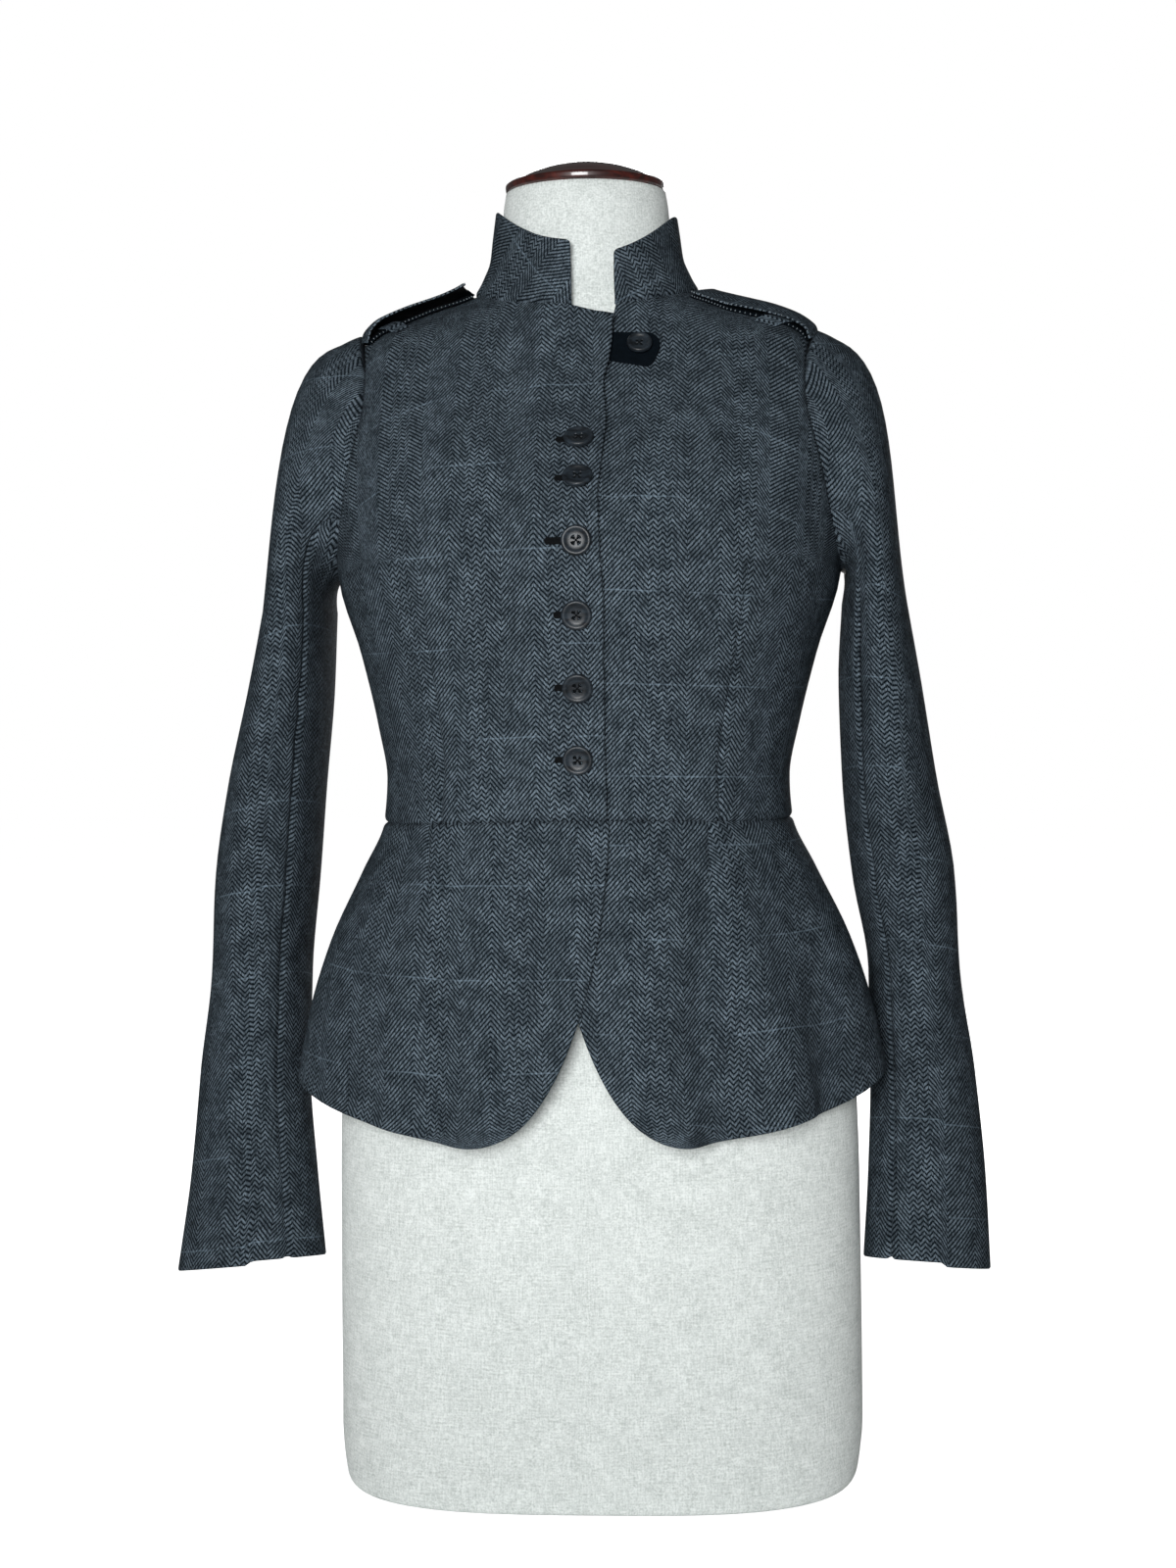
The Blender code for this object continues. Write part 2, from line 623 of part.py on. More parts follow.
def add_epaulette(side):
    """Two straps along the shoulder, one over the other, and the loop that holds the lower one."""
    sign = 1.0 if side == "left" else -1.0
    lie = STRAP_LIES[side]
    middle = math.radians(90.0 - lie.turn)

    def strap_point(level, across, lift):
        turn = across / ring_at(level).half_width
        return off_skin(sign * (middle - turn), level, lift)

    def rise(share, forward):
        bulge = STRAP_BULGE * smooth(0.0, 0.1, share) * (1.0 - smooth(0.4, 0.75, share))
        back = lie.back_rise * (1.0 - smooth(-0.2, 1.0, forward)) * smooth(0.0, 0.25, share)
        back *= 1.0 - smooth(0.5, 1.0, share)
        front = lie.front_rise * smooth(-0.6, 1.0, forward) * smooth(0.0, 0.2, share)
        return bulge + back + front + lie.end_rise * smooth(0.55, 1.0, share)

    columns = 6
    rows = 7
    for strap in (BASE_STRAP, UPPER_STRAP):

        def place(column, row, face, strap=strap):
            share = row / rows
            forward = 2.0 * column / columns - 1.0
            level = strap.start + (lie.end - strap.short - strap.start) * share
            lift = strap.lift + (rise(share, forward) if strap is UPPER_STRAP else 0.0)
            return strap_point(level, strap.half_width * forward, lift + 0.5 * STRAP_CLOTH * face)

        add_wall(strap.name + "_" + side, columns, rows, place)

    over = BASE_STRAP.lift + 0.5 * STRAP_CLOTH + SEAM_GAP + 0.5 * LOOP_CLOTH
    beside = 0.5 * CLOTH + SEAM_GAP + 0.5 * LOOP_CLOTH
    loop_columns = 12

    def place_loop(column, row, face):
        across = LOOP_HALF_WIDTH * (2.0 * column / loop_columns - 1.0)
        past = smooth(BASE_STRAP.half_width + 0.0006, LOOP_HALF_WIDTH - 0.001, abs(across))
        lift = over + (beside - over) * past
        return strap_point(LOOP_LEVELS[row], across, lift + 0.5 * LOOP_CLOTH * face)

    add_wall("epaulette_loop_" + side, loop_columns, 1, place_loop)


def add_neck_tab():
    """The dark ribbon tab that comes out from under the right front and is buttoned on the left one."""
    columns = 8
    rows = 4
    step = TAB_HALF_HEIGHT / 0.018

    def place(column, row, face):
        share = column / columns
        upward = 2.0 * row / rows - 1.0
        rounding = math.sqrt(1.0 - (0.72 * upward) ** 2) - 1.0
        reach = TAB_END + rounding * TAB_HALF_HEIGHT
        level = TAB_LEVEL + step * upward
        angle = front_angle(TAB_START + (reach - TAB_START) * share, level)
        lift = 0.5 * CLOTH + SEAM_GAP + 0.5 * TAB_CLOTH
        return off_skin(angle, level, lift + 0.5 * TAB_CLOTH * face)

    add_wall("neck_tab", columns, rows, place, "ribbon")


def add_button(name, angle, level, lift, scale=1.0):
    """A dished button with a raised rim, turned to lie on the cloth."""
    profile = (
        (0.0, 0.0),
        (0.78, 0.0),
        (1.0, 0.42),
        (0.93, 1.0),
        (0.72, 0.94),
        (0.58, 0.66),
        (0.0, 0.62),
    )
    turned = bmesh.new()
    corners = [
        turned.verts.new((scale * BUTTON_RADIUS * radius, 0.0, BUTTON_HEIGHT * height))
        for radius, height in profile
    ]
    edges = [turned.edges.new(pair) for pair in zip(corners, corners[1:])]
    bmesh.ops.spin(
        turned,
        geom=corners + edges,
        cent=(0.0, 0.0, 0.0),
        axis=(0.0, 0.0, 1.0),
        angle=2.0 * math.pi,
        steps=14,
        use_merge=True,
    )
    bmesh.ops.remove_doubles(turned, verts=turned.verts, dist=1e-6)
    outward = skin_normal(angle, level)
    seat = off_skin(angle, level, lift)
    turn = Vector((0.0, 0.0, 1.0)).rotation_difference(outward).to_matrix().to_4x4()
    bmesh.ops.transform(turned, matrix=Matrix.Translation(seat) @ turn, verts=turned.verts)
    add_object(name, turned, "horn")


def add_buttons():
    """The row down the centre front, and the one on the neck tab."""
    for name, height in BUTTON_HEIGHTS.items():
        level = front_level(height)
        angle = front_angle(0.0, level)
        lift = right_front_lift(angle, level) + 0.5 * CLOTH + 2.0 * SEAM_GAP
        add_button(name, angle, level, lift)
    angle = front_angle(NECK_BUTTON_AT, TAB_LEVEL)
    lift = 0.5 * CLOTH + TAB_CLOTH + 4.0 * SEAM_GAP
    add_button("button_neck", angle, TAB_LEVEL, lift, NECK_BUTTON_SCALE)


def main():
    for item in list(bpy.data.objects):
        bpy.data.objects.remove(item)
    add_dress_form()
    for side in ("left", "right"):
        add_bodice_front(side)
        add_bodice_back(side)
        add_peplum_front(side)
        add_peplum_back(side)
        add_sleeve(side)
        add_epaulette(side)
    add_collar()
    add_neck_tab()
    add_buttons()


main()
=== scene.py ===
"""Finishes a peplum jacket in herringbone wool on its linen dress form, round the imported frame.

Laid out as an add-on and run as a script. Metres, +Z up. The front of the jacket faces -Y and the wearer's
left is +X. A place on the body is an angle round it (0 at the centre front, 90 degrees at the wearer's
left side) and a level counted in rings from the hem. Each cloth panel is a grid laid on that surface, with
a flat chart of the cloth in metres, so that the weave follows the way the panel was cut.
"""

import math
from collections import namedtuple
from functools import partial

import bmesh
import bpy
import numpy as np
from mathutils import Matrix, Vector


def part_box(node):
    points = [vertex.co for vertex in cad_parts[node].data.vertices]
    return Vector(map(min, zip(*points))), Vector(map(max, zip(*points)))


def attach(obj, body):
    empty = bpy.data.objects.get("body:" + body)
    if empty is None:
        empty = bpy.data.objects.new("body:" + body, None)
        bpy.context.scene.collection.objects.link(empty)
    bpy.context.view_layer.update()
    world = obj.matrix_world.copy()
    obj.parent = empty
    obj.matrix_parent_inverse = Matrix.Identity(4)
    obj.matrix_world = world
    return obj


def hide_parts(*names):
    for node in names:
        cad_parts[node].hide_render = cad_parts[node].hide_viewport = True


bl_info = {
    "name": "Peplum jacket on dress form",
    "version": (1, 0, 0),
    "blender": (4, 5, 0),
    "location": "View3D > Sidebar > Jacket",
    "description": "Builds the cloth, trims and stage of a tailored jacket round its packed frame",
    "category": "Object",
}

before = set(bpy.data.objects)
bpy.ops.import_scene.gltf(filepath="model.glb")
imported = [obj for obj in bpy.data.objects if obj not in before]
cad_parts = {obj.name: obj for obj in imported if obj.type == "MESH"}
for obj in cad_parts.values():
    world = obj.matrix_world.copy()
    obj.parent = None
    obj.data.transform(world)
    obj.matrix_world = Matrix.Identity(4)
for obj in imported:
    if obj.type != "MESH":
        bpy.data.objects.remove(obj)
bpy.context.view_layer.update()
FLOOR_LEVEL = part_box("dress_form")[0][2]

SIDES = {"left": 1.0, "right": -1.0}  # the wearer's sides, and which way X runs to them
SEAM_GAP = 0.0003
FRONT_EXTENSION = 0.0185  # how far each front reaches past the line of buttons
OVERLAP_LIFT = 0.0026  # the wearer's right front lies on the left one
NECK_LIFT = 0.0016  # and stands further off it where the neck tab passes between
EDGE_FLARE = 0.0020  # and along its free edge
LIFT_RAMP = 0.022  # how long before the left front's edge it begins to rise
SHOULDER_SLOPE = 0.7  # how much sooner the shoulders drop away from the shoulder seam than the body does
CLOSURE_SHIFT = 0.0014  # the line of buttons lies this far to the wearer's left of the middle
BODY_LEAN = 0.0042  # from the waist down the jacket hangs this far to the wearer's right
NECK_DIP = 0.0100  # the front edge ends lower than the collar seam
NECK_LEVEL_HEIGHT = 0.015  # length of cloth in one level there
NECK_DIP_SPAN = (-0.0080, 0.0190)  # distances to the wearer's left between which it dips
COLLAR_END_RIGHT = -0.0065  # distances from the line of buttons
COLLAR_END_LEFT = 0.0200
COLLAR_SIDE_DROP = 0.0050  # the collar's top edge is lower on the wearer's left
COLLAR_END_DROP = 0.0097  # and lowest at its left end
COLLAR_RING_STEP = 0.016  # length of cloth in one level of the collar
COLLAR_FOOT_STEP = 0.010  # and at its foot
COLLAR_CORNER = 0.003  # radius of the upper corners of its two ends
COLLAR_RADIUS = 0.058  # of the collar round the neck
# How its halves are cut, each from its front end: slant to the cloth, shift across it, and that end's column.
COLLAR_CUTS = ((20.0, -0.001, 0), (-40.0, 0.021, -1))
FORM_CLEARANCE = 0.0032  # from the cloth in to the form
CUFF_SLANT = {"left": 0.0026, "right": 0.0040}  # the cuff is lower on its outer side
CUFF_TILT = 0.0085  # and higher in front, square to the bent forearm
CUFF_SLANT_END = 0.205  # height from which the sleeve is level again
HEAD_LEAN = 0.07  # how far the sleeve head leans in as it leaves its foot, against its rise
HEAD_STRETCH = 0.45  # and how far it goes on upwards
EDGE_DROP_POWER = 1.65  # how the peplum's front edges curve away from the centre
EDGE_RUN_POWER = 2.4
CORNER_ANGLE = 32.0  # degrees from the centre at which they end in the hem
ARMHOLE_FRONT = 24.0  # degrees that the armhole cuts into the front and the back
ARMHOLE_BACK = 20.0
ARMHOLE_SKEW = 0.85  # in front it cuts in deepest below its middle
FRONT_SLEEVE_SEAM = 10.0 / 28.0  # shares of the way round the arm from its outer side by the front
BACK_SLEEVE_SEAM = 18.0 / 28.0
SLEEVE_MARGIN = 0.0006  # left free at each seam, as a share of the piece's width
CAP_FULLNESS = {"left": 0.315, "right": 0.31}  # how far the sleeve head stands out, against its rise
CAP_LIFT = {"left": 0.0, "right": 0.08}  # and up
CROWN_RISE = {"left": 0.0042, "right": 0.0066}  # the padded crown rises to the straps beside the seam
CROWN_SPAN = (1.885, 1.985)  # in climbs of the sleeve
TAB_LEVEL = 11.1
TAB_START = 0.008  # distances from the line of buttons
TAB_END = 0.0440
TAB_HALF_HEIGHT = 0.0085
TAB_SLOPE = (0.24, -0.08)  # levels by which its start and its end are higher
TAB_LEVEL_HEIGHT = 0.018  # length of cloth in one level there
NECK_BUTTON_AT = 0.0336  # distance from the line of buttons
NECK_BUTTON_SCALE = 0.86
LOOP_LEVELS = {"left": (11.24, 11.49), "right": (11.32, 11.57)}
LOOP_HALF_WIDTH = 0.0290
CROWDING = 0.85  # how strongly the lines of a panel's grid crowd towards its edges
STITCH_COUNT = 30  # along each edge of a strap
STITCH_WIDTH = 0.0006

# One row for each ring of the body surface: heights where it crosses the side, the front and the back, the
# half width, the depths to front and back, and how square its front and back halves are (2 is an ellipse).
Ring = namedtuple("Ring", "side_z front_z back_z half_width front_depth back_depth front_square back_square")
RINGS = {
    "hem": (0.262, 0.223, 0.246, 0.188, 0.136, 0.150, 2.2, 2.2),
    "peplum_low": (0.303, 0.279, 0.292, 0.180, 0.131, 0.141, 2.2, 2.2),
    "peplum_middle": (0.344, 0.333, 0.338, 0.167, 0.123, 0.129, 2.2, 2.2),
    "peplum_high": (0.386, 0.383, 0.383, 0.147, 0.113, 0.112, 2.2, 2.2),
    "waist": (0.419, 0.4235, 0.419, 0.132, 0.106, 0.098, 2.2, 2.2),
    "rib_low": (0.447, 0.453, 0.446, 0.130, 0.108, 0.097, 2.2, 2.2),
    "rib": (0.482, 0.491, 0.480, 0.136, 0.115, 0.101, 2.3, 2.25),
    "rib_high": (0.528, 0.542, 0.526, 0.147, 0.129, 0.107, 2.4, 2.3),
    "underarm": (0.577, 0.594, 0.577, 0.1615, 0.137, 0.111, 2.5, 2.4),
    "chest": (0.640, 0.640, 0.640, 0.166, 0.120, 0.110, 2.5, 2.5),
    "chest_high": (0.690, 0.682, 0.696, 0.162, 0.091, 0.098, 2.4, 2.5),
    "shoulder_tip": (0.729, 0.712, 0.738, 0.145, 0.074, 0.080, 2.2, 2.2),
    "shoulder": (0.747, 0.730, 0.759, 0.109, 0.067, 0.067, 2.1, 2.1),
    "neck": (0.760, 0.745, 0.774, 0.0735, 0.0625, 0.056, 2.0, 2.0),
    "collar_foot": (0.773, 0.754, 0.787, 0.0655, 0.0615, 0.052, 2.0, 2.0),
    "collar_low": (0.782, 0.762, 0.797, 0.0620, 0.0615, 0.050, 2.0, 2.0),
    "collar_middle": (0.797, 0.772, 0.810, 0.0600, 0.0620, 0.049, 2.0, 2.0),
    "collar_top": (0.815, 0.786, 0.827, 0.0575, 0.0632, 0.048, 2.0, 2.0),
}
RING_TABLE = np.array(list(RINGS.values()))
LEVEL = {name: float(number) for number, name in enumerate(RINGS)}

# Flutes of the peplum at its hem: angle and half width in degrees, and how far it stands out (+) or in (-).
FOLDS = (
    (-101, 17, -0.010), (-74, 13, 0.005), (-55, 10, -0.004), (-38, 11, -0.005), (-24, 12, 0.003),
    (22, 12, 0.005), (36, 10, -0.009), (49, 11, 0.008), (63, 9, -0.009), (78, 12, 0.005),
    (101, 17, -0.010), (124, 15, 0.007), (143, 13, -0.007), (162, 14, 0.006), (180, 11, -0.004),
    (198, 14, 0.006), (217, 13, -0.007), (236, 15, 0.007),
)

# Level sections of the dress form: the bare part below the waist, the neck, and the wooden cap. Each has its
# height, half width, depths to front and back, and how square it is.
FORM_SECTIONS = (
    (0.0, 0.1575, 0.1080, 0.1100, 3.2), (0.0015, 0.1607, 0.1112, 0.1135, 3.2),
    (0.005, 0.1635, 0.1135, 0.1165, 3.2), (0.014, 0.1655, 0.1142, 0.1190, 3.1),
    (0.035, 0.1678, 0.1130, 0.1205, 2.9), (0.060, 0.1680, 0.1110, 0.1208, 2.8),
    (0.110, 0.1682, 0.1085, 0.1210, 2.7), (0.180, 0.1682, 0.1080, 0.1220, 2.5),
    (0.240, 0.1672, 0.1080, 0.1220, 2.4), (0.300, 0.1600, 0.106, 0.115, 2.3),
    (0.350, 0.1430, 0.103, 0.102, 2.2), (0.390, 0.1300, 0.101, 0.094, 2.2),
)
FORM_NECK = (
    (0.806, 0.0545, 0.0565, 0.0435, 2.0), (0.817, 0.0535, 0.0560, 0.0430, 2.0),
    (0.826, 0.0520, 0.0545, 0.0415, 2.0),
)
NECK_CAP = (
    (0.8263, 0.0495, 0.0520, 0.0390, 2.0), (0.8280, 0.0520, 0.0545, 0.0415, 2.0),
    (0.8310, 0.0523, 0.0548, 0.0418, 2.0), (0.8339, 0.0471, 0.0493, 0.0376, 2.0),
    (0.8376, 0.0392, 0.0411, 0.0314, 2.0), (0.8415, 0.0288, 0.0301, 0.0230, 2.0),
    (0.8447, 0.0157, 0.0164, 0.0125, 2.0), (0.8459, 0.0052, 0.0055, 0.0042, 2.0),
)

# Sections of each hanging sleeve from the cuff up: inner and outer edge seen from the front, and its
# place and half size from front to back.
SleeveRow = namedtuple("SleeveRow", "height inner outer middle_y half_depth")
SLEEVE_ROWS = {
    "left": (
        (0.130, 0.1712, 0.2510, 0.002, 0.041), (0.186, 0.1755, 0.2495, 0.014, 0.043),
        (0.250, 0.1785, 0.2450, 0.032, 0.047), (0.314, 0.1785, 0.2365, 0.036, 0.052),
        (0.378, 0.1685, 0.2335, 0.030, 0.056), (0.442, 0.1625, 0.2220, 0.019, 0.061),
        (0.506, 0.1608, 0.2120, 0.009, 0.066), (0.556, 0.1636, 0.2035, 0.004, 0.070),
    ),
    "right": (
        (0.129, 0.1835, 0.2795, 0.002, 0.041), (0.186, 0.1908, 0.2720, 0.014, 0.043),
        (0.250, 0.1977, 0.2682, 0.030, 0.047), (0.314, 0.1965, 0.2600, 0.034, 0.052),
        (0.378, 0.1897, 0.2555, 0.030, 0.056), (0.442, 0.1825, 0.2430, 0.019, 0.061),
        (0.506, 0.1752, 0.2255, 0.009, 0.066), (0.556, 0.1727, 0.2130, 0.004, 0.070),
    ),
}

BUTTON_HEIGHTS = (0.654, 0.630, 0.5935, 0.550, 0.5065, 0.462)  # of the first button to the sixth

# Straps of each epaulette: level of the outer end, how many levels short of the neck the other end stops,
# half width, how far the strap stands off the shoulder, and how far it is drawn in at the armhole seam.
Strap = namedtuple("Strap", "name start short half_width lift sewn")
BASE_STRAP = Strap("epaulette_base", 10.99, 0.06, 0.0195, 0.0031, 0.0008)
UPPER_STRAP = Strap("epaulette", 10.975, 0.0, 0.0185, 0.0054, 0.0012)
STRAP_BULGE = 0.0016  # the upper strap rises this much over the loop
# How the straps of each shoulder lie: degrees forward of the shoulder seam at the neck end and at the outer
# end, level of the neck end, levels by which the outer end slants down to the front, and how much further the
# upper strap's back edge, front edge and neck end stand off.
StrapLie = namedtuple("StrapLie", "turn tip_turn end slant back_rise front_rise end_rise")
STRAP_LIES = {
    "left": StrapLie(15.0, 4.5, 12.72, 0.14, 0.0012, 0.0, 0.0),
    "right": StrapLie(4.0, 4.0, 12.92, 0.0, 0.0, 0.0042, 0.0030),
}

# Where each panel lies on the cloth: distances from the chart's zero lines to the middle of a wide stripe,
# and up to a blue weft line.
STRIPE_SHIFT = {
    "bodice_front_right": (-0.0365, -0.0049),
    "bodice_front_left": (0.0240, 0.0278),
    "peplum_front_right": (-0.0113, -0.0391),
    "peplum_front_left": (0.0214, -0.0150),
    "bodice_back_right": (-0.0150, 0.0),
    "bodice_back_left": (0.0150, 0.0),
    "peplum_back_right": (-0.0060, -0.0250),
    "peplum_back_left": (0.0060, -0.0250),
    "sleeve_right": (0.0470, 0.0120),
    "sleeve_left": (-0.0430, 0.0310),
}

# Sewn darts: angles at the waist seam and at the tip, level of the tip, and the width taken in at the seam.
Dart = namedtuple("Dart", "seam_angle tip_angle tip_level intake")
DARTS = {
    "bodice_front_right": Dart(46.0, 38.7, 7.9, 0.022),
    "bodice_front_left": Dart(46.8, 41.3, 8.0, 0.022),
    "bodice_back_right": Dart(138.0, 134.0, 7.6, 0.018),
    "bodice_back_left": Dart(138.0, 134.0, 7.6, 0.018),
    "peplum_front_right": Dart(51.1, 42.1, 2.28, 0.012),
    "peplum_front_left": Dart(43.1, 40.0, 3.04, 0.012),
}

# How the right front's free edge wanders: heights, and how far short of its full reach it stops there.
FREE_EDGE = (
    (0.719, 0.0), (0.704, 0.0016), (0.692, 0.0046), (0.680, 0.0037), (0.665, 0.0022), (0.643, 0.0042),
    (0.625, 0.0064), (0.606, 0.0056), (0.588, 0.0046), (0.562, 0.0027), (0.475, 0.0026), (0.447, 0.0014),
    (0.4235, 0.0010),
)

# Creases laid on each panel: the two ends as seen square on from the front or the back (x and z),
# half width, depth (- is a trough), how far the middle bows sideways, and the side it is on (-1 is the front).
CREASES = {
    "bodice_front_right": (
        ((-0.121, 0.573), (-0.064, 0.596), 0.010, 0.0014, 0.004, -1),
        ((-0.128, 0.548), (-0.085, 0.560), 0.008, -0.0010, -0.003, -1),
        ((-0.060, 0.437), (-0.105, 0.450), 0.006, 0.0010, 0.002, -1),
        ((-0.035, 0.690), (-0.110, 0.668), 0.016, 0.0012, -0.004, -1),
    ),
    "bodice_front_left": (
        ((0.0240, 0.700), (0.0240, 0.440), 0.007, -0.0024, 0.0, -1),
        ((0.060, 0.440), (0.112, 0.452), 0.006, 0.0010, -0.002, -1),
        ((0.130, 0.560), (0.080, 0.575), 0.010, 0.0012, 0.003, -1),
    ),
    "peplum_front_right": (
        ((-0.104, 0.304), (-0.004, 0.303), 0.005, -0.0007, 0.002, -1),
        ((-0.080, 0.405), (-0.100, 0.330), 0.008, -0.0020, 0.003, -1),
    ),
    "peplum_front_left": (
        ((0.076, 0.400), (0.062, 0.265), 0.009, -0.0030, 0.004, -1),
        ((0.103, 0.392), (0.132, 0.295), 0.009, -0.0028, -0.003, -1),
    ),
    "sleeve_upper_right": (
        ((-0.207, 0.507), (-0.178, 0.497), 0.006, -0.0018, 0.001, -1),
        ((-0.206, 0.482), (-0.182, 0.468), 0.007, -0.0016, 0.001, -1),
        ((-0.245, 0.355), (-0.205, 0.372), 0.010, 0.0016, 0.003, -1),
        ((-0.238, 0.428), (-0.192, 0.452), 0.008, -0.0015, -0.002, 1),
    ),
    "sleeve_upper_left": (
        ((0.171, 0.556), (0.169, 0.470), 0.006, -0.0020, 0.002, -1),
        ((0.189, 0.520), (0.192, 0.462), 0.011, 0.0016, 0.0, -1),
        ((0.232, 0.352), (0.185, 0.372), 0.010, 0.0015, -0.003, -1),
        ((0.226, 0.420), (0.182, 0.440), 0.008, -0.0014, 0.002, 1),
    ),
    "bodice_back_left": (
        ((0.118, 0.560), (0.050, 0.585), 0.012, 0.0014, 0.004, 1),
        ((0.030, 0.450), (0.105, 0.440), 0.006, 0.0010, 0.002, 1),
    ),
    "bodice_back_right": (
        ((-0.122, 0.556), (-0.048, 0.578), 0.011, 0.0013, -0.003, 1),
        ((-0.034, 0.446), (-0.108, 0.452), 0.006, 0.0011, -0.002, 1),
    ),
    "peplum_back_left": (
        ((0.070, 0.395), (0.092, 0.300), 0.009, -0.0010, 0.003, 1),
    ),
    "peplum_back_right": (
        ((-0.066, 0.400), (-0.080, 0.290), 0.009, -0.0011, -0.004, 1),
    ),
}

# Where the hem of each cuff steps up from its outer part, as a share of the way round the arm.
CUFF_STEP_AT = {"left": 0.213, "right": 0.272}
CUFF_STEP = 0.0027  # how much longer that part is
CUFF_PUCKER = 0.0016  # how far the seams draw the hem up


def linear(hex_colour):
    """An sRGB hex value as linear red, green, blue and alpha."""
    parts = [int(hex_colour[place : place + 2], 16) / 255.0 for place in (1, 3, 5)]
    return tuple(p / 12.92 if p <= 0.04045 else ((p + 0.055) / 1.055) ** 2.4 for p in parts) + (1.0,)


def colour_property(name, description, hex_colour):
    """A colour that a user can change."""
    return bpy.props.FloatVectorProperty(
        name=name, description=description, default=linear(hex_colour),
        subtype="COLOR", size=4, min=0.0, max=1.0,
    )


def number_property(name, description, default, **units):
    """A number that a user can change: a length, unless other units are given."""
    units = units or {"min": 0.0, "precision": 5, "unit": "LENGTH"}
    return bpy.props.FloatProperty(name=name, description=description, default=default, **units)


class JacketCloth(bpy.types.PropertyGroup):
    """Sizes and colours of the wool, its lining and its straps."""

    wool: number_property("Wool", "Thickness of the wool with its lining", 0.0020)
    band: number_property("Collar band", "Thickness of the doubled collar", 0.0024)
    strap: number_property("Strap", "Thickness of the shoulder straps", 0.0018)
    loop: number_property("Strap loop", "Thickness of the loops that hold the straps", 0.0012)
    tab: number_property("Neck tab", "Thickness of the ribbon tab", 0.0012)
    seam_sink: number_property("Seam sink", "How far the cloth is drawn in along a seam", 0.0013)
    seam_width: number_property("Seam width", "How far from the seam the cloth is drawn in", 0.0022)
    seam_line: number_property("Seam line", "How much deeper the line in the waist seam and darts is", 0.0011)
    line_width: number_property("Seam line width", "Half width of that line", 0.0008)
    thread: number_property("Thread spacing", "Distance from one warp thread to the next", 0.000714)
    rise: number_property("Twill rise", "How far the twill line climbs at each thread", 0.0008)
    weft_check: number_property("Check spacing", "Distance between the faint blue weft lines", 0.058)
    dark: colour_property("Dark yarn", "The charcoal yarn of the herringbone", "#0d1318")
    light: colour_property("Light yarn", "The grey yarn of the herringbone", "#6f7d88")
    check: colour_property("Check yarn", "The pale blue weft yarn", "#93a9ba")
    lining: colour_property("Lining", "The satin inside the jacket", "#14181c")


class DressFormFinish(bpy.types.PropertyGroup):
    """Colours of the dress form."""

    linen: colour_property("Linen", "Bleached linen of the cover", "#f0f5f3")
    linen_shade: colour_property("Linen shade", "The darker yarns of the cover", "#c3cac7")
    wood_dark: colour_property("Wood", "Stained beech of the neck cap", "#2a0c08")
    wood_light: colour_property("Wood figure", "Lighter figure in the stained beech", "#5e2016")


class JacketTrims(bpy.types.PropertyGroup):
    """Sizes and colours of the buttons, stitches and ribbon."""

    button_radius: number_property("Button radius", "Radius of the buttons", 0.0093)
    button_height: number_property("Button height", "Height of the buttons over the cloth", 0.0034)
    hole_length: number_property("Buttonhole", "Length of a worked buttonhole", 0.0157)
    horn_dark: colour_property("Horn", "Dark horn of the buttons", "#12161a")
    horn_light: colour_property("Horn streaks", "Pale streaks in the horn", "#2d363e")
    twist: colour_property("Buttonhole twist", "Black thread of buttonholes and buttons", "#07090b")
    tick: colour_property("Edge stitch", "Pale thread along the straps", "#7f888d")
    ribbon: colour_property("Ribbon", "Navy ribbon of the neck tab", "#050a0f")


class JacketStage(bpy.types.PropertyGroup):
    """Camera, light and floor."""

    distance: number_property("Camera distance", "From the axis of the form to the camera", 1.626)
    eye_height: number_property("Camera height", "Height of the camera over the floor", 0.518)
    azimuth: number_property(
        "Camera azimuth", "Angle from the front of the jacket to the camera", math.radians(4.0), subtype="ANGLE"
    )
    roll: number_property("Camera roll", "How far the camera was tilted", math.radians(0.85), subtype="ANGLE")
    lens: number_property("Lens", "Focal length on a 36 mm frame", 57.15, unit="CAMERA")
    key_power: number_property("Key light", "Power of the soft front light", 5.7, unit="POWER")
    fill_power: number_property("Fill light", "Power of the weak light on the back", 22.0, unit="POWER")
    floor: colour_property("Floor", "Matt paper that the form stands on", "#f7f7f7")
    floor_glow: number_property("Floor glow", "How white the paper looks by light from behind it", 1.0, min=0.0)


def smooth(low, high, value):
    """0 below the low value and 1 above the high one, with an eased way between."""
    t = np.clip((value - low) / (high - low), 0.0, 1.0)
    return t * t * (3.0 - 2.0 * t)


def crowded(count, both=True):
    """Places from 0 to 1 that crowd towards both ends, or towards the first end only."""
    even = np.linspace(0.0, 1.0 if both else 0.5, count + 1)
    places = even - CROWDING * np.sin(2.0 * math.pi * even) / (2.0 * math.pi)
    return places if both else 2.0 * places


def eased(table, place):
    """A curve through evenly spaced rows that doesn't swing past them, read at places between them."""
    table = np.asarray(table, dtype=float)
    place = np.asarray(place, dtype=float)
    steps = np.diff(table, axis=0)
    same_way = steps[:-1] * steps[1:] > 0.0
    total = np.where(same_way, steps[:-1] + steps[1:], 1.0)
    slopes = np.zeros_like(table)
    slopes[1:-1] = np.where(same_way, 2.0 * steps[:-1] * steps[1:] / total, 0.0)
    slopes[0] = steps[0]
    slopes[-1] = steps[-1]
    first = np.clip(np.floor(place).astype(int), 0, len(table) - 2)
    t = (place - first)[..., None]
    start = (1.0 + 2.0 * t) * (1.0 - t) ** 2 * table[first] + t * (1.0 - t) ** 2 * slopes[first]
    end = t * t * (3.0 - 2.0 * t) * table[first + 1] + t * t * (t - 1.0) * slopes[first + 1]
    return start + end


def ring_at(level):
    """The ring at any level, also between two rows of the table."""
    return Ring(*np.moveaxis(eased(RING_TABLE, level), -1, 0))


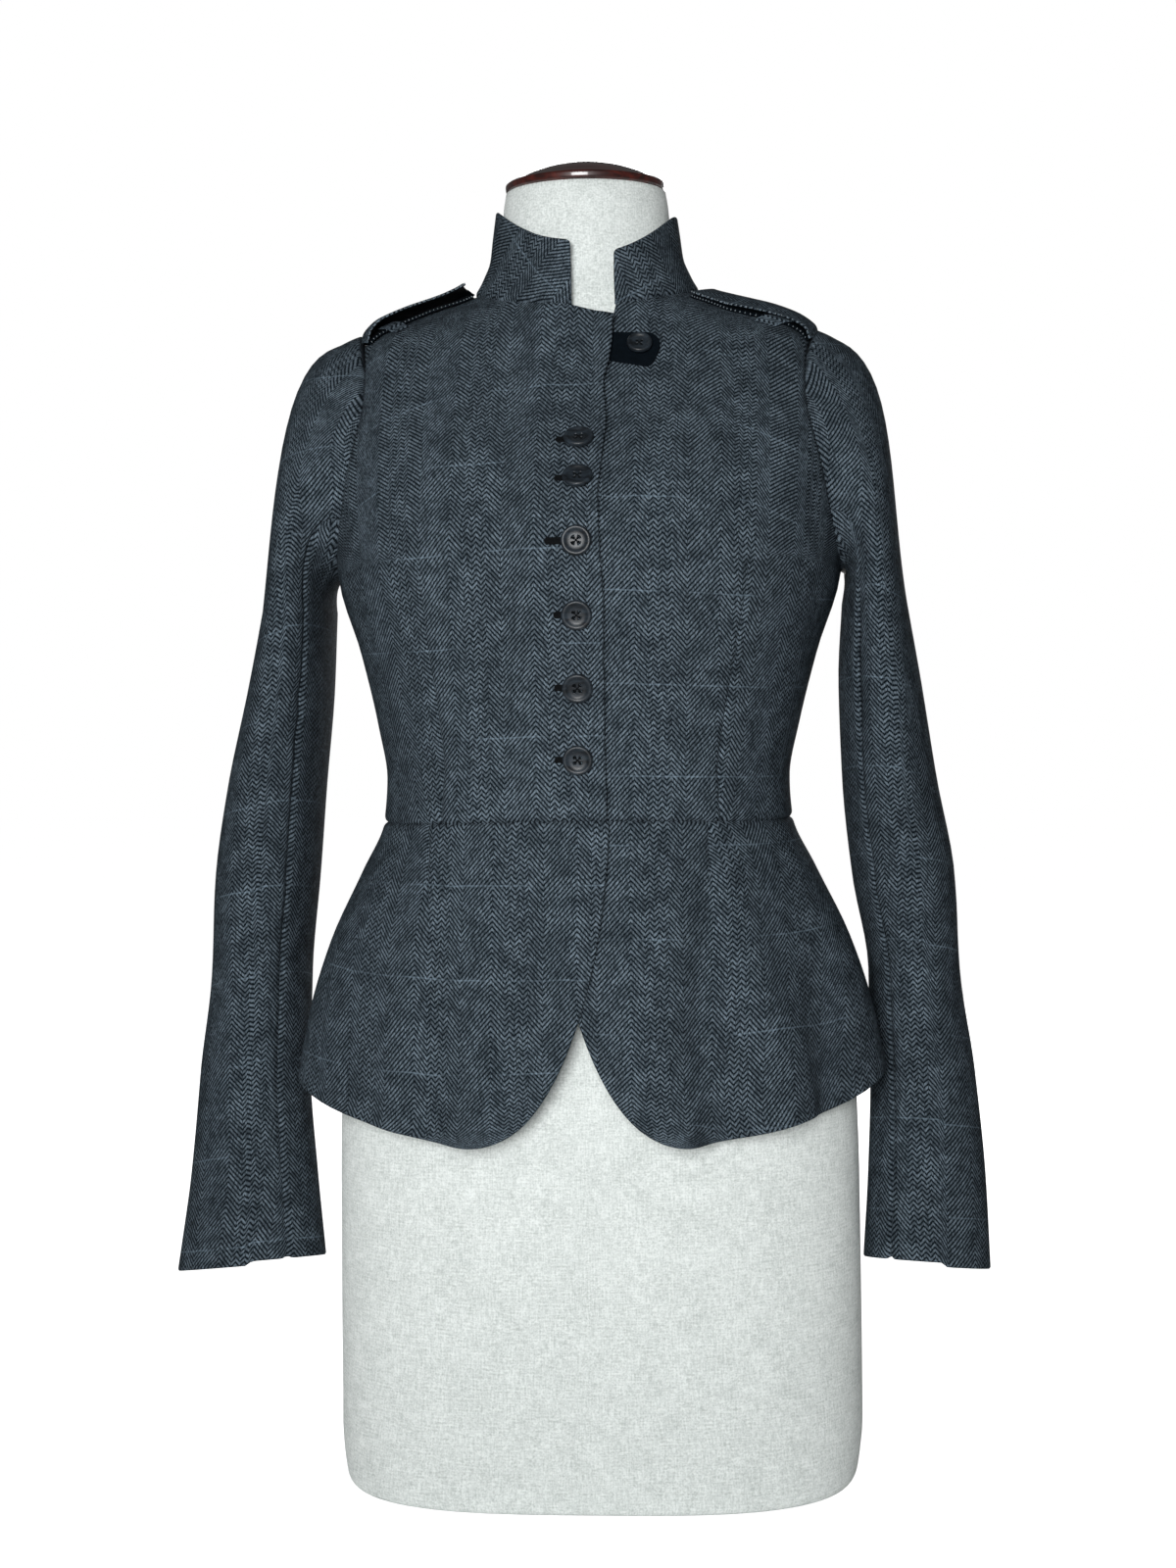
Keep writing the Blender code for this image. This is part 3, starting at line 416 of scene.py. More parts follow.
def oval_radius(angle, half_width, depth, square):
    """Distance from the middle to an oval of this half width and depth."""
    across = np.abs(np.sin(angle)) / half_width
    along = np.abs(np.cos(angle)) / depth
    return (across**square + along**square) ** (-1.0 / square)


def flute_depth(angle, level):
    """How far the flutes move the peplum in or out at this place."""
    drop = np.clip(1.0 - level / LEVEL["waist"], 0.0, 1.0)
    turned = np.degrees(angle)
    total = np.zeros_like(turned)
    for place, half_width, depth in FOLDS:
        away = (turned - place + 180.0) % 360.0 - 180.0
        rounded = 0.5 * (1.0 + np.cos(math.pi * away / half_width))
        total += np.where(np.abs(away) < half_width, depth * rounded, 0.0)
    return total * drop**1.3


def skin(angle, level):
    """Points of the body surface at these angles and levels.

    Their height goes by how far out they lie to the side, so that the flutes leave the hem an even line.
    """
    angle, level = np.broadcast_arrays(np.asarray(angle, dtype=float), np.asarray(level, dtype=float))
    ring = ring_at(level)
    facing = np.cos(angle)
    front = facing > 0.0
    depth = np.where(front, ring.front_depth, ring.back_depth)
    square = np.where(front, ring.front_square, ring.back_square)
    far_z = np.where(front, ring.front_z, ring.back_z)
    radius = oval_radius(angle, ring.half_width, depth, square)
    flute = flute_depth(angle, level)
    slide = flute * np.sin(angle) / (radius * np.maximum(np.abs(facing), 0.25))
    sideways = angle + np.where(front, slide, -slide)
    shoulder = smooth(9.5, 11.0, level) * (1.0 - smooth(12.6, 13.6, level))
    flatness = 1.0 + np.minimum(level / LEVEL["waist"], 1.0) - SHOULDER_SLOPE * shoulder
    height = ring.side_z + (far_z - ring.side_z) * np.abs(np.cos(sideways)) ** flatness
    radius = radius + flute
    lean = -BODY_LEAN * (1.0 - smooth(LEVEL["waist"], LEVEL["chest"], level))
    return np.stack((radius * np.sin(angle) + lean, -radius * facing, height), axis=-1)


def unit(vectors):
    """The same directions with a length of one."""
    return vectors / np.linalg.norm(vectors, axis=-1, keepdims=True)


def skin_normal(angle, level):
    """Outward directions of the body surface."""
    step = 0.01
    low = np.maximum(level - step, 0.0)
    high = np.minimum(level + step, len(RINGS) - 1.0)
    around = skin(angle + step, level) - skin(angle - step, level)
    upward = skin(angle, high) - skin(angle, low)
    return unit(np.cross(around, upward))


def off_skin(angle, level, lift):
    """Points this far out from the body surface, and its outward directions there."""
    normals = skin_normal(angle, level)
    return skin(angle, level) + normals * np.asarray(lift)[..., None], normals


def front_angle(distance, level):
    """The angle of a point of the front at this distance from the line of buttons."""
    return (distance + CLOSURE_SHIFT) / ring_at(level).front_depth


def front_level(height):
    """The level at which the centre front has this height."""
    levels = np.linspace(0.0, LEVEL["collar_top"], 3401)
    return float(np.interp(height, ring_at(levels).front_z, levels))


def right_front_lift(angle, level):
    """How far the wearer's right front stands off the skin, so that it clears the left front."""
    distance = angle * ring_at(level).front_depth - CLOSURE_SHIFT
    near_middle = smooth(-FRONT_EXTENSION - LIFT_RAMP, -FRONT_EXTENSION - 0.002, distance)
    flare = EDGE_FLARE * smooth(0.004, 0.016, distance)
    return near_middle * (OVERLAP_LIFT + NECK_LIFT * smooth(9.3, 10.6, level) + flare)


def armhole(share, back):
    """Angle and level of the armhole edge: share 0 at the underarm and 1 at the shoulder tip."""
    cut_front = ARMHOLE_FRONT * np.clip(np.sin(math.pi * share**ARMHOLE_SKEW), 0.0, 1.0)
    cut_back = ARMHOLE_BACK * np.clip(np.sin(math.pi * share), 0.0, 1.0) ** 0.75
    angle = np.radians(90.0 + np.where(back, cut_back, -cut_front))
    rise = 0.5 * (1.0 - np.cos(math.pi * share))
    return angle, LEVEL["underarm"] + (LEVEL["shoulder_tip"] - LEVEL["underarm"]) * rise


def peplum_edge(share, sign):
    """Level and angle of the cut-away front edge, from the waist seam (share 0) round into the hem (1)."""
    turn = 0.5 * math.pi * share
    level = LEVEL["waist"] * (1.0 - np.sin(turn) ** (2.0 / EDGE_DROP_POWER))
    start = sign * front_angle(-sign * FRONT_EXTENSION, LEVEL["waist"])
    run = 1.0 - np.clip(np.cos(turn), 0.0, 1.0) ** (2.0 / EDGE_RUN_POWER)
    return level, start + run * (math.radians(CORNER_ANGLE) - start)


def runs(points, axis):
    """Lengths along the columns (axis 0) or the rows (axis 1) of a grid of points, from its first line."""
    steps = np.linalg.norm(np.diff(points, axis=axis), axis=2)
    start = np.zeros_like(np.take(points[..., 0], [0], axis=axis))
    return np.concatenate((start, np.cumsum(steps, axis=axis)), axis=axis)


def crease_lift(panel, points, normals):
    """How far the creases laid on this panel lift or sink it."""
    total = np.zeros(points.shape[:2])
    seen = points[..., ::2]
    for start, end, width, depth, bow, facing in CREASES.get(panel, ()):
        way = np.array(end) - start
        length = float(np.hypot(*way))
        along = ((seen - start) @ way) / length**2
        beside = (seen - start) @ np.array((-way[1], way[0])) / length
        beside = beside - bow * 4.0 * along * (1.0 - along)
        ends = smooth(-0.25, 0.25, along) * (1.0 - smooth(0.75, 1.25, along))
        ends = ends * smooth(-0.1, 0.35, facing * normals[..., 1])
        total += depth * ends * np.exp(-((beside / width) ** 2))
    return total


def drawn_in(beside, sharp=True):
    """How far a seam draws the cloth in at these distances from it, with a sharp line in it or without."""
    cloth = bpy.context.scene.jacket_cloth
    soft = cloth.seam_sink * np.exp(-((beside / cloth.seam_width) ** 2))
    return soft + cloth.seam_line * np.exp(-((beside / cloth.line_width) ** 2)) if sharp else soft


def cloth_faces(points, normals, thickness, seams):
    """Outer and inner face of a panel, rounded at its free edges and drawn in along those that are sewn."""
    across = runs(points, 1)
    along = runs(points, 0)
    edges = {"first": across, "last": across[:, -1:] - across, "foot": along, "head": along[-1:] - along}
    half = np.full_like(across, 0.5 * thickness)
    sink = np.zeros_like(across)
    for edge, distance in edges.items():
        if edge in seams:
            sink = np.maximum(sink, drawn_in(distance, sharp=edge == "foot"))
        else:
            bare = 1.0 - np.clip(distance / (0.75 * thickness), 0.0, 1.0)
            rounded = 1.0 - 0.85 * (1.0 - np.sqrt(1.0 - bare**2))
            half = np.minimum(half, 0.5 * thickness * rounded)
    return points + normals * (half - sink)[..., None], points - normals * (half + sink)[..., None]


def mesh_of(name, shape):
    """The mesh of a finished bmesh."""
    mesh = bpy.data.meshes.new(name)
    shape.to_mesh(mesh)
    shape.free()
    return mesh


def place_object(name, data):
    """A new object in the scene, at the origin."""
    item = bpy.data.objects.new(name, data)
    bpy.context.scene.collection.objects.link(item)
    return item


def finish_piece(name, shape, materials, node=None):
    """Turns a finished bmesh into a piece of the jacket, which may stand for a node of the frame."""
    mesh = mesh_of(name, shape)
    for material in materials:
        mesh.materials.append(material)
    mesh.polygons.foreach_set("use_smooth", [True] * len(mesh.polygons))
    piece = place_object(name, mesh)
    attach(piece, "root")
    if node:
        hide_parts(node)
    return piece


def add_sheet(
    node, points, normals, thickness, seams, chart, materials,
    past=None, beyond=None,
):
    """A panel of cloth: a grid and its extruded copy, laid on the panel's two faces.

    The chart is the panel's place on the flat cloth. From the column past, a dart's, the cloth carries on at
    another place, which the chart beyond gives.
    """
    outer, inner = cloth_faces(points, normals, thickness, seams)
    rows, columns = (count - 1 for count in outer.shape[:2])
    sheet = bmesh.new()
    bmesh.ops.create_grid(sheet, x_segments=columns, y_segments=rows, size=0.5)
    grown = bmesh.ops.extrude_face_region(sheet, geom=sheet.faces[:])
    copies = [item for item in grown["geom"] if isinstance(item, bmesh.types.BMVert)]
    bmesh.ops.translate(sheet, verts=copies, vec=(0.0, 0.0, 1.0))
    layer = sheet.loops.layers.uv.new("cloth")
    places = {
        vert: (round((vert.co.y + 0.5) * rows), round((vert.co.x + 0.5) * columns), vert.co.z > 0.5)
        for vert in sheet.verts
    }
    for face in sheet.faces:
        corners = [places[loop.vert] for loop in face.loops]
        cut = beyond if past is not None and min(corner[1] for corner in corners) >= past else chart
        for loop, (row, column, _) in zip(face.loops, corners):
            loop[layer].uv = cut[row, column]
        inside = not any(corner[2] for corner in corners)
        face.material_index = len(materials) - 1 if inside else 0
    for vert, (row, column, outside) in places.items():
        vert.co = outer[row, column] if outside else inner[row, column]
    bmesh.ops.recalc_face_normals(sheet, faces=sheet.faces)
    if sheet.calc_volume(signed=True) < 0.0:
        bmesh.ops.reverse_faces(sheet, faces=sheet.faces)
    piece = finish_piece("cloth_" + node, sheet, materials, node)


def add_loft(node, points, materials):
    """A closed solid drawn up from an oval face level by level, through rows of points round an axis."""
    levels, sides = points.shape[:2]
    solid = bmesh.new()
    bmesh.ops.create_circle(solid, cap_ends=True, segments=sides, radius=1.0)
    rim = solid.edges[:]
    for _ in range(levels - 1):
        grown = bmesh.ops.extrude_edge_only(solid, edges=rim)["geom"]
        corners = [item for item in grown if isinstance(item, bmesh.types.BMVert)]
        bmesh.ops.translate(solid, verts=corners, vec=(0.0, 0.0, 1.0))
        rim = [item for item in grown if isinstance(item, bmesh.types.BMEdge) and item.is_boundary]
    bmesh.ops.edgeloop_fill(solid, edges=rim)
    places = {}
    for vert in solid.verts:
        turn = math.atan2(vert.co.x, -vert.co.y) / (2.0 * math.pi)
        places[vert] = (round(vert.co.z), round(turn * sides) % sides)
    girth = float(runs(np.concatenate((points, points[:, :1]), axis=1), 1)[:, -1].max())
    layer = solid.loops.layers.uv.new("cloth")
    for face in solid.faces:
        numbers = [places[loop.vert][1] for loop in face.loops]
        wraps = max(numbers) - min(numbers) > sides // 2
        for loop, number in zip(face.loops, numbers):
            turned = number + sides if wraps and number < sides // 2 else number
            level = places[loop.vert][0]
            loop[layer].uv = (girth * turned / sides, points[level, number, 2])
    for vert, (level, number) in places.items():
        vert.co = points[level, number]
    bmesh.ops.recalc_face_normals(solid, faces=solid.faces)
    return finish_piece("finished_" + node, solid, materials, node)


def add_node(tree, kind, inputs=(), out=0, **settings):
    """Adds one shader node with its settings, fills or links its inputs, and gives one of its outputs."""
    node = tree.nodes.new("ShaderNode" + kind)
    for name, value in settings.items():
        setattr(node, name, value)
    for socket, value in (inputs if isinstance(inputs, dict) else dict(enumerate(inputs))).items():
        if isinstance(value, bpy.types.NodeSocket):
            tree.links.new(value, node.inputs[socket])
        else:
            node.inputs[socket].default_value = value
    return node.outputs[out]


def new_material(name, **constants):
    """A Principled material with these values, the same all over it, and what adds a node to it."""
    material = bpy.data.materials.new(name)
    material.use_nodes = True
    shader = material.node_tree.nodes["Principled BSDF"]
    for socket, value in constants.items():
        shader.inputs[socket.replace("_", " ")].default_value = value
    return material, partial(add_node, material.node_tree)


def link_surface(material, **sockets):
    """Links these outputs to the sockets of a material's shader."""
    tree = material.node_tree
    for socket, value in sockets.items():
        tree.links.new(value, tree.nodes["Principled BSDF"].inputs[socket.replace("_", " ")])
    return material


def toned(colour, times, more=0.0):
    """A lighter or darker tone of a colour."""
    return tuple(min(1.0, part * times + more) for part in colour[:3]) + (1.0,)


# Warp threads of one repeat of the cloth, stripe by stripe; the twill climbs in the first stripe, falls in
# the second, and so on. The net climb is a whole number of twill lines, so the repeats join.
HERRINGBONE_DRAFT = (29, 12, 4, 4, 4, 4, 4, 13)
TWILL_THREADS = 4
WIDE_STRIPE_MIDDLE = 0.196  # as a share of the repeat


def herringbone_wool():
    """Charcoal wool woven in an uneven herringbone, brushed: soft and quite matt.

    The eye gets slanting lines of short grey dashes on charcoal, which turn at each stripe and fade in
    places, and now and then a faint broken blue weft line.
    """
    name = "wool_herringbone_woven"
    if name in bpy.data.materials:
        return bpy.data.materials[name]
    cloth = bpy.context.scene.jacket_cloth
    material, add = new_material(name, Roughness=0.95, Specular_IOR_Level=0.05)
    chart = add("UVMap", uv_map="cloth")
    body = add("TexCoord", out="Object")
    # Slack of the yarns, over about 12 mm of cloth.
    slack = add("TexNoise", {"Vector": body, "Scale": 1.0 / 0.012, "Detail": 1.0})
    # Fibre of the yarns, about 1 mm, drawn twice as coarse as it is so that it shows.
    fibre = add("TexNoise", {"Vector": body, "Scale": 1.0 / 0.001, "Detail": 2.0})
    # Uneven dyeing over about 40 mm.
    dyeing = add("TexNoise", {"Vector": body, "Scale": 1.0 / 0.04, "Detail": 2.0})
    place = add("SeparateXYZ", (chart,)).node.outputs
    slide = add("Math", (slack, -0.5), operation="ADD")
    along = add("Math", (slide, 0.0012, place[1]), operation="MULTIPLY_ADD")
    # Each warp thread has its own step of the twill.
    counted = add("Math", (place[0], 1.0 / cloth.thread), operation="MULTIPLY")
    warp = add("Math", (counted,), operation="FLOOR")
    share = 1.0 / sum(HERRINGBONE_DRAFT)
    repeat = add("Math", (warp, share, WIDE_STRIPE_MIDDLE + 0.5 * share), operation="MULTIPLY_ADD")
    stripe = add("Math", (repeat,), operation="FRACT")
    zigzag = add("FloatCurve", {"Value": stripe})
    curve = zigzag.node.mapping.curves[0]
    highest = HERRINGBONE_DRAFT[0]
    threads = 0
    climb = 0
    for number, width in enumerate(HERRINGBONE_DRAFT):
        threads += width
        climb += width if number % 2 == 0 else -width
        corner = (threads / sum(HERRINGBONE_DRAFT), climb / highest)
        if number + 1 < len(HERRINGBONE_DRAFT):
            curve.points.new(*corner)
        else:
            curve.points[-1].location = corner
    for point in curve.points:
        point.handle_type = "VECTOR"
    zigzag.node.mapping.update()
    climbed = add("Math", (zigzag, -highest / TWILL_THREADS), operation="MULTIPLY")
    phase = add("Math", (along, 1.0 / (cloth.rise * TWILL_THREADS), climbed), operation="MULTIPLY_ADD")
    wave = add("Math", (phase, 0.5), operation="PINGPONG")
    speck = add("Math", (fibre, 0.4, -0.2), operation="MULTIPLY_ADD")
    ragged = add("Math", (wave, speck), operation="ADD")
    line = add("MapRange", (ragged, 0.13, 0.37, 0.0, 1.0), interpolation_type="SMOOTHSTEP")
    # Every dash of the grey yarn has its own strength, and whole patches are fainter.
    row = add("Math", (phase,), operation="FLOOR")
    stitch = add("CombineXYZ", (warp, row))
    chance = add("TexWhiteNoise", {"Vector": stitch}, noise_dimensions="2D")
    strength = add("MapRange", (chance, 0.0, 1.0, 0.35, 1.1))
    fading = add("MapRange", (slack, 0.35, 0.65, 0.6, 1.0))
    dashed = add("Math", (line, strength), operation="MULTIPLY")
    faded = add("Math", (dashed, fading), operation="MULTIPLY")
    twill = add("Mix", {0: faded, 6: cloth.dark, 7: cloth.light}, out=2, data_type="RGBA")
    tint = add("MapRange", (dyeing, 0.3, 0.7, 0.92, 1.07))
    dyed = add("Mix", {0: 1.0, 6: twill, 7: tint}, out=2, data_type="RGBA", blend_type="MULTIPLY")
    # The blue weft lines, broken where the warp covers them.
    weft = add("Math", (along, 1.0 / cloth.weft_check), operation="MULTIPLY")
    off_line = add("Math", (weft, 0.5), operation="PINGPONG")
    on_line = add("MapRange", (off_line, 0.005, 0.011, 1.0, 0.0))
    shown = add("MapRange", (dyeing, 0.43, 0.60, 0.0, 0.28))
    covered = add("Math", (shown, strength), operation="MULTIPLY")
    blue = add("Math", (on_line, covered), operation="MULTIPLY")
    woven = add("Mix", {0: blue, 6: dyed, 7: cloth.check}, out=2, data_type="RGBA")
    height = add("Math", (fibre, 0.5, line), operation="MULTIPLY_ADD")
    relief = add("Bump", {"Height": height, "Strength": 0.35, "Distance": 0.0004})
    return link_surface(material, Base_Color=woven, Normal=relief)


SLUB_LENGTH = 0.010
MOTTLE_SIZE = 0.016


def plain_weave(name, base, shade, spacing, **constants):
    """A plain woven cloth: a fine grain of crossing yarns, short thicker slubs, and soft mottling."""
    if name in bpy.data.materials:
        return bpy.data.materials[name]
    material, add = new_material(name, **constants)
    chart = add("UVMap", uv_map="cloth")
    body = add("TexCoord", out="Object")
    fine, long = 1.0 / spacing, 1.0 / SLUB_LENGTH
    grain = add("TexNoise", {"Vector": body, "Scale": fine, "Detail": 3.0})
    lying = add("Mapping", {"Vector": chart, "Scale": (long, fine, 1.0)})
    standing = add("Mapping", {"Vector": chart, "Scale": (fine, long, 1.0)})
    slub_weft = add("TexNoise", {"Vector": lying, "Scale": 1.0, "Detail": 1.0})
    slub_warp = add("TexNoise", {"Vector": standing, "Scale": 1.0, "Detail": 1.0})
    mottle = add("TexNoise", {"Vector": body, "Scale": 1.0 / MOTTLE_SIZE, "Detail": 4.0})
    slubs = add("Math", (slub_weft, slub_warp), operation="ADD")
    yarn = add("Math", (slubs, 0.5, grain), operation="MULTIPLY_ADD")
    worn = add("Math", (mottle, 0.3, yarn), operation="MULTIPLY_ADD")
    share = add("MapRange", (worn, 0.92, 1.44, 0.0, 1.0))
    colour = add("Mix", {0: share, 6: base, 7: shade}, out=2, data_type="RGBA")
    relief = add("Bump", {"Height": yarn, "Strength": 0.2, "Distance": 0.0003})
    return link_surface(material, Base_Color=colour, Normal=relief)


def form_linen():
    """Bleached linen, plain woven and stretched: near white, matt, with a fine grain and small slubs.

    The yarns are drawn at 1.2 mm, twice their real spacing, because finer ones don't show.
    """
    colours = bpy.context.scene.dress_form_finish
    finish = {"Diffuse_Roughness": 0.35, "Roughness": 0.9, "Specular_IOR_Level": 0.2}
    return plain_weave("linen_plain_woven", colours.linen, colours.linen_shade, 0.0012, **finish)


def satin_lining():
    """Viscose satin, woven: black, smooth, with a low soft gloss."""
    dark = bpy.context.scene.jacket_cloth.lining
    finish = {"Roughness": 0.5, "Specular_IOR_Level": 0.35}
    return plain_weave("viscose_satin_woven", dark, toned(dark, 1.7), 0.0016, **finish)


def navy_ribbon():
    """Ribbed silk ribbon, woven: near-black navy, almost without gloss."""
    dark = bpy.context.scene.jacket_trims.ribbon
    finish = {"Roughness": 0.95, "Specular_IOR_Level": 0.06}
    return plain_weave("silk_ribbon_woven", dark, toned(dark, 1.8), 0.0012, **finish)


def flecked(name, dark, light, grain, bump, **constants):
    """A dense material with long irregular streaks of a second colour; grain gives their sizes on X, Y, Z."""
    if name in bpy.data.materials:
        return bpy.data.materials[name]
    material, add = new_material(name, **constants)
    body = add("TexCoord", out="Object")
    drawn = add("Mapping", {"Vector": body, "Scale": tuple(1.0 / size for size in grain)})
    streak = add("TexNoise", {"Vector": drawn, "Scale": 1.0, "Detail": 4.0, "Distortion": 0.6})
    share = add("MapRange", (streak, 0.36, 0.72, 0.0, 1.0))
    colour = add("Mix", {0: share, 6: dark, 7: light}, out=2, data_type="RGBA")
    relief = add("Bump", {"Height": streak, "Strength": bump, "Distance": 0.0003})
    return link_surface(material, Base_Color=colour, Normal=relief)


def varnished_beech():
    """Beech, turned, stained red-brown and varnished: dark figure under a hard clear gloss."""
    colours = bpy.context.scene.dress_form_finish
    figure = (0.030, 0.004, 0.004)
    finish = {"Roughness": 0.4, "Coat_Weight": 1.0, "Coat_Roughness": 0.07}
    return flecked("beech_stained_varnished", colours.wood_dark, colours.wood_light, figure, 0.05, **finish)


def polished_horn():
    """Dark horn, turned and polished: grey streaks in charcoal under a low, soft gloss."""
    colours = bpy.context.scene.jacket_trims
    streaks = (0.012, 0.004, 0.003)
    finish = {"Roughness": 0.42, "IOR": 1.54, "Specular_IOR_Level": 0.3}
    finish.update(Coat_Weight=0.05, Coat_Roughness=0.15)
    return flecked("horn_turned_polished", colours.horn_dark, colours.horn_light, streaks, 0.03, **finish)


def thread(name, colour):
    """Twisted silk thread: matt, with the fine plies of its twist, 0.5 mm apart."""
    finish = {"Roughness": 0.9, "Specular_IOR_Level": 0.08}
    return flecked(name, colour, toned(colour, 1.6, 0.004), (0.0005, 0.0005, 0.0005), 0.3, **finish)


def section_points(section, angles):
    """The points of level oval sections at these angles."""
    height, half_width, front_depth, back_depth, square = np.moveaxis(section, -1, 0)
    facing = np.cos(angles)[None, :]
    depth = np.where(facing > 0.0, front_depth[:, None], back_depth[:, None])
    radius = oval_radius(angles[None, :], half_width[:, None], depth, square[:, None])
    heights = np.broadcast_to(height[:, None], radius.shape)
    return np.stack((radius * np.sin(angles), -radius * facing, heights), axis=-1)


class JACKET_OT_dress_form(bpy.types.Operator):
    """Builds the padded torso in its linen cover and the turned cap on its neck"""

    bl_idname = "jacket.dress_form"
    bl_label = "Dress form"

    def execute(self, context):
        cloth = context.scene.jacket_cloth
        angles = np.linspace(0.0, 2.0 * math.pi, 144, endpoint=False)
        bare = eased(FORM_SECTIONS, np.linspace(0.0, len(FORM_SECTIONS) - 1.0, 51))
        levels = np.linspace(LEVEL["waist"] + 0.1, LEVEL["collar_middle"], 60)
        inset = np.full((len(levels), len(angles)), -0.5 * cloth.band - FORM_CLEARANCE)
        covered, _ = off_skin(angles[None, :], levels[:, None], inset)
        neck = eased(FORM_NECK, np.linspace(0.0, len(FORM_NECK) - 1.0, 7))
        body = np.concatenate((section_points(bare, angles), covered, section_points(neck, angles)))
        form = add_loft("dress_form", body, (form_linen(),))
        cap = eased(NECK_CAP, np.linspace(0.0, len(NECK_CAP) - 1.0, 31))
        add_loft("form_neck_cap", section_points(cap, angles), (varnished_beech(),))
        return {"FINISHED"}


def bodice_rows(back):
    """Levels of a bodice panel's rows and the angles of its outer edge, on the wearer's left side."""
    waist, underarm, tip, neck = (LEVEL[name] for name in ("waist", "underarm", "shoulder_tip", "neck"))
    side = waist + (underarm - waist) * crowded(34, both=False)[:-1]
    edge_angle, edge_level = armhole(np.linspace(0.0, 1.0, 47), back)
    shoulder = tip + (neck - tip) * (1.0 - crowded(14, both=False)[::-1])[1:]
    levels = np.concatenate((side, edge_level, shoulder))
    angles = np.full(levels.shape, 0.5 * math.pi)
    angles[len(side) : len(side) + len(edge_angle)] = edge_angle
    return levels, angles


def dart_angles(dart, level):
    """Angle of a dart's line at each level; past its tip the line runs on straight up or down."""
    share = np.clip((level - LEVEL["waist"]) / (dart.tip_level - LEVEL["waist"]), 0.0, 1.0)
    return np.radians(dart.seam_angle + (dart.tip_angle - dart.seam_angle) * share)


def dart_share(dart, level):
    """How much of a dart is still open at each level: 1 at the waist seam and 0 from the tip on."""
    return np.clip((level - dart.tip_level) / (LEVEL["waist"] - dart.tip_level), 0.0, 1.0)


def two_spans(inner, between, outer, counts):
    """Angles of each row from its inner edge by a line between to its outer edge, crowded at all three."""
    first = crowded(counts[0])[None, :]
    second = crowded(counts[1])[None, 1:]
    near = inner[:, None] + (between - inner)[:, None] * first
    far = between[:, None] + (outer - between)[:, None] * second
    return np.concatenate((near, far), axis=1)


def half_seam(level):
    """Half the gap of a seam that runs up the body, as an angle."""
    return 0.5 * SEAM_GAP / ring_at(level).half_width


def add_panel(node, sign, angle, row_level, start, dart_column, seams, lift=0.0, dip=0.0):
    """A panel of the body on a grid of angles, with the level of each row, and its dart, creases and seams.

    The start is each row's distance from the chart's zero line to its first column, and the dip is how much
    lower than on the grid the cloth is cut.
    """
    level = np.broadcast_to(row_level[:, None], angle.shape)
    lift = np.broadcast_to(lift, angle.shape)
    flat, _ = off_skin(sign * angle, level, lift)
    upward = 1.0 if level[-1, 0] > level[0, 0] else -1.0
    outward = 1.0 if angle[0, -1] > angle[0, 0] else -1.0
    across = sign * (outward * runs(flat, 1) + np.reshape(start, (-1, 1)))
    chart = np.stack((across, upward * runs(flat, 0) - dip), axis=-1) - np.array(STRIPE_SHIFT[node])
    level = level - dip / NECK_LEVEL_HEIGHT
    flat, normals = off_skin(sign * angle, level, lift)
    beyond = None
    sunk = crease_lift(node, flat, normals)
    if node in DARTS:
        dart = DARTS[node]
        open_share = dart_share(dart, level)
        beyond = chart.copy()
        beyond[..., 0] += sign * outward * dart.intake * open_share
        beside = runs(flat, 1) - runs(flat, 1)[:, dart_column : dart_column + 1]
        sunk = sunk - np.sqrt(open_share) * drawn_in(beside)
    points = flat + normals * sunk[..., None]
    materials = (herringbone_wool(), satin_lining())
    thickness = bpy.context.scene.jacket_cloth.wool
    add_sheet(node, points, normals, thickness, seams, chart, materials, dart_column, beyond)


def free_edge(level):
    """How far the right front's free edge reaches past the buttons."""
    heights, set_back = np.array(FREE_EDGE).T
    return FRONT_EXTENSION - np.interp(-ring_at(level).front_z, -heights, set_back)


class JACKET_OT_bodice(bpy.types.Operator):
    """Builds the two fronts and the two back halves of the bodice"""

    bl_idname = "jacket.bodice"
    bl_label = "Bodice"

    def execute(self, context):
        for side, sign in SIDES.items():
            self.front(side, sign)
            self.back(side, sign)
        return {"FINISHED"}

    def front(self, side, sign):
        """One front, from its free edge to the side seam, the armhole and the shoulder seam."""
        node = "bodice_front_" + side
        row_level, outer = bodice_rows(False)
        extension = free_edge(row_level) if side == "right" else np.full(row_level.shape, FRONT_EXTENSION)
        inner = sign * front_angle(-sign * extension, row_level)
        counts = (26, 28)
        angle = two_spans(inner, dart_angles(DARTS[node], row_level), outer - half_seam(row_level), counts)
        level = row_level[:, None]
        distance = sign * angle * ring_at(level).front_depth
        low, high = NECK_DIP_SPAN
        dip = NECK_DIP * np.clip((distance - low) / (high - low), 0.0, 1.0)
        if side == "left":
            # Under the right front it ends lower, and it is back at the collar's foot where the collar begins.
            dip = (dip + 0.002) * (1.0 - smooth(0.0190, 0.0225, distance))
        dip = dip * smooth(LEVEL["shoulder"], LEVEL["neck"], level)
        lift = right_front_lift(sign * angle, level) if side == "right" else 0.0
        add_panel(node, sign, angle, row_level, -extension, counts[0], ("last", "foot", "head"), lift, dip)

    def back(self, side, sign):
        """One half of the back, from the centre back seam to the side seam, armhole and shoulder."""
        node = "bodice_back_" + side
        row_level, outer = bodice_rows(True)
        seam = half_seam(row_level)
        counts = (22, 22)
        angle = two_spans(math.pi - seam, dart_angles(DARTS[node], row_level), outer + seam, counts)
        add_panel(node, sign, angle, row_level, 0.0, counts[0], ("first", "last", "foot", "head"))


